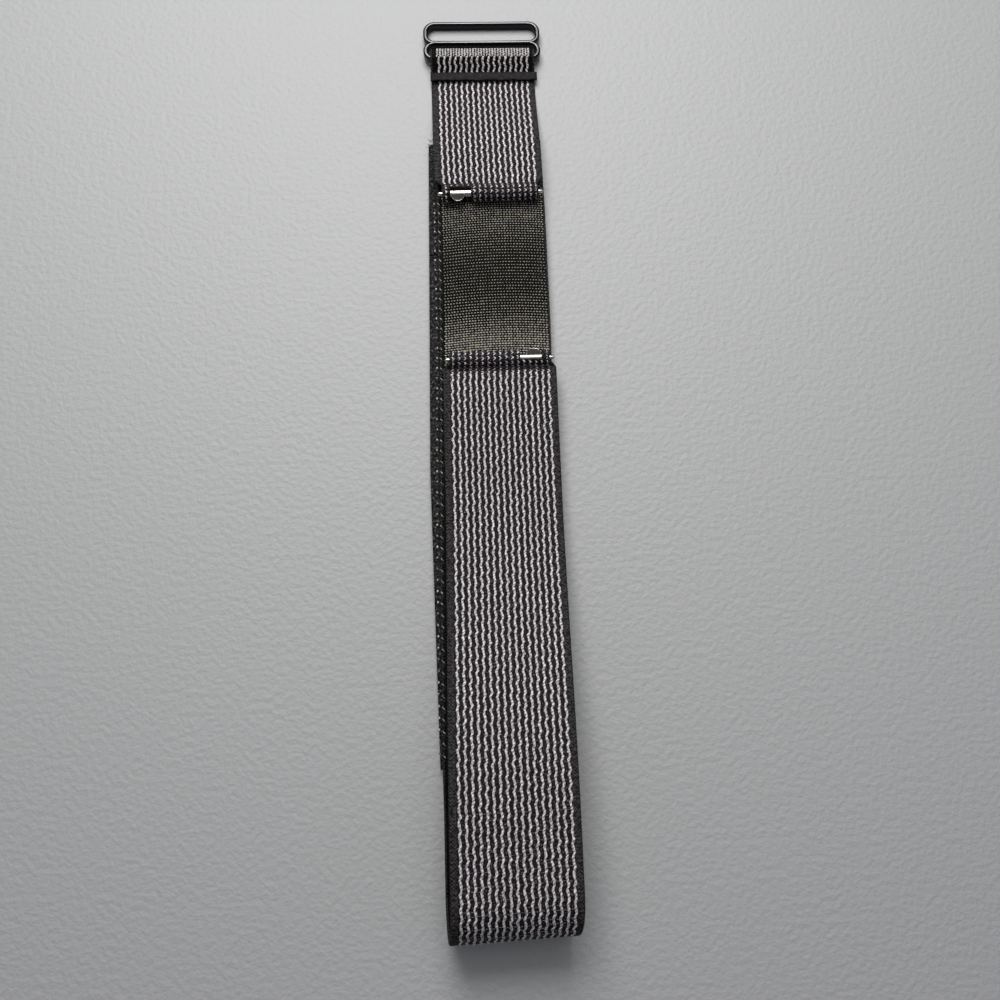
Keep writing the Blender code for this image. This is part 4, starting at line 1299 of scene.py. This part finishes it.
def strayFibres(name, seed, places):
    # frayed filaments, each a circular arc of its own bend, so many at each place
    rng = np.random.default_rng(seed)
    share = np.linspace(0, 1, fibres["points"])
    routes = []
    for x, y, z, count in places:
        for _ in range(count):
            heading, curl = rng.uniform(*fibres["heading"]), rng.uniform(*fibres["curl"])
            angle = np.radians(heading + curl * share)
            length = rng.uniform(*fibres["length"])
            dx, dy = (np.cumsum(part) * length / fibres["points"] for part in (np.cos(angle), np.sin(angle)))
            routes.append(spots(x + dx, y + dy, z + 0.3 * share * rng.uniform(-0.5, 1)))
    return tubePiece(name, np.array(routes), fibres["radius"], 4, finishes["darkThread"])


tipSide = tailCentre(sewing["tip"]) - limit - 0.2
tailFibres = strayFibres("tailFibres", 3, [(tipSide - 0.5, 31.3, 2.2, 4), (tipSide - 0.9, 30.6, 1.6, 4)])
bandFibres = strayFibres("bandFibres", 6, [(bandHigh[0] - 0.1, bandLow[1] + 0.3, bandHigh[2], 3),
                                           (bandLow[0] + 0.2, bandLow[1] + 0.1, bandHigh[2], 2)])
dress(tailFibres, body="tail")
dress(bandFibres, body="short_strap")
print("fibres done")


stageSettings = {
    "table": "b4b5b7",
    "tableReach": 2.0,
    "grainMm": 1.1,
    "reliefMm": 0.3,
    "aim": (0, -0.03, 0),
    "lampColour": (1.0, 0.985, 0.955),
    "key": {"watts": 1.14, "size": 0.22, "place": (-0.03, 0.19, 0.30)},
    "fill": {"watts": 0.64, "size": 0.5, "place": (0.0, 0.10, 0.40)},
    "world": "d6dde8",
    "worldStrength": 0.14,
    "focal": 36.1,
    "sensor": 36,
    "cameraPlace": (-2.1, -89.7, 187.7),
    "cameraTurn": (13.4, 0.0, -1.78),
}


def makeTable():
    # Leather grain moulded into a painted table top, kept plain: faint pebbles, half matt.
    values = {"Base Color": linear(stageSettings["table"]), "Roughness": 0.55}
    finish, tree = startFinish("paintedTableTop", values)
    endFinish(finish, {}, grain(tree, stageSettings["grainMm"], 2.0), stageSettings["reliefMm"], 0.7)
    mesh = bpy.data.meshes.new("tableTop")
    r = stageSettings["tableReach"]
    mesh.from_pydata([(-r, -r, 0), (r, -r, 0), (r, r, 0), (-r, r, 0)], [], [(0, 1, 2, 3)])
    mesh.materials.append(finish)
    addObject("tableTop", mesh)


def addLamp(name, watts, size, place):
    # a soft square lamp, turned to the aim
    lamp = bpy.data.lights.new(name, "AREA")
    lamp.energy, lamp.size, lamp.color = watts, size, stageSettings["lampColour"]
    holder = addObject(name, lamp)
    holder.location = place
    holder.visible_camera = False
    dx, dy, dz = np.array(stageSettings["aim"]) - np.array(place)
    holder.rotation_euler = (math.atan2(math.hypot(dx, dy), -dz), 0, math.atan2(dy, dx) - math.pi / 2)


makeTable()
for name in ("key", "fill"):
    addLamp(name + "Light", **stageSettings[name])
scene = bpy.context.scene
scene.world = bpy.data.worlds.new("roomLight")
scene.world.use_nodes = True
background = scene.world.node_tree.nodes["Background"].inputs
background["Color"].default_value = linear(stageSettings["world"])
background["Strength"].default_value = stageSettings["worldStrength"]
scene.view_settings.view_transform = "Standard"
lens = bpy.data.cameras.new("photoCamera")
lens.lens, lens.sensor_width, lens.clip_start = stageSettings["focal"], stageSettings["sensor"], 0.005
camera = addObject("photoCamera", lens)
camera.location = [v * mm for v in stageSettings["cameraPlace"]]
camera.rotation_euler = [math.radians(v) for v in stageSettings["cameraTurn"]]
scene.camera = camera
print("stage done")
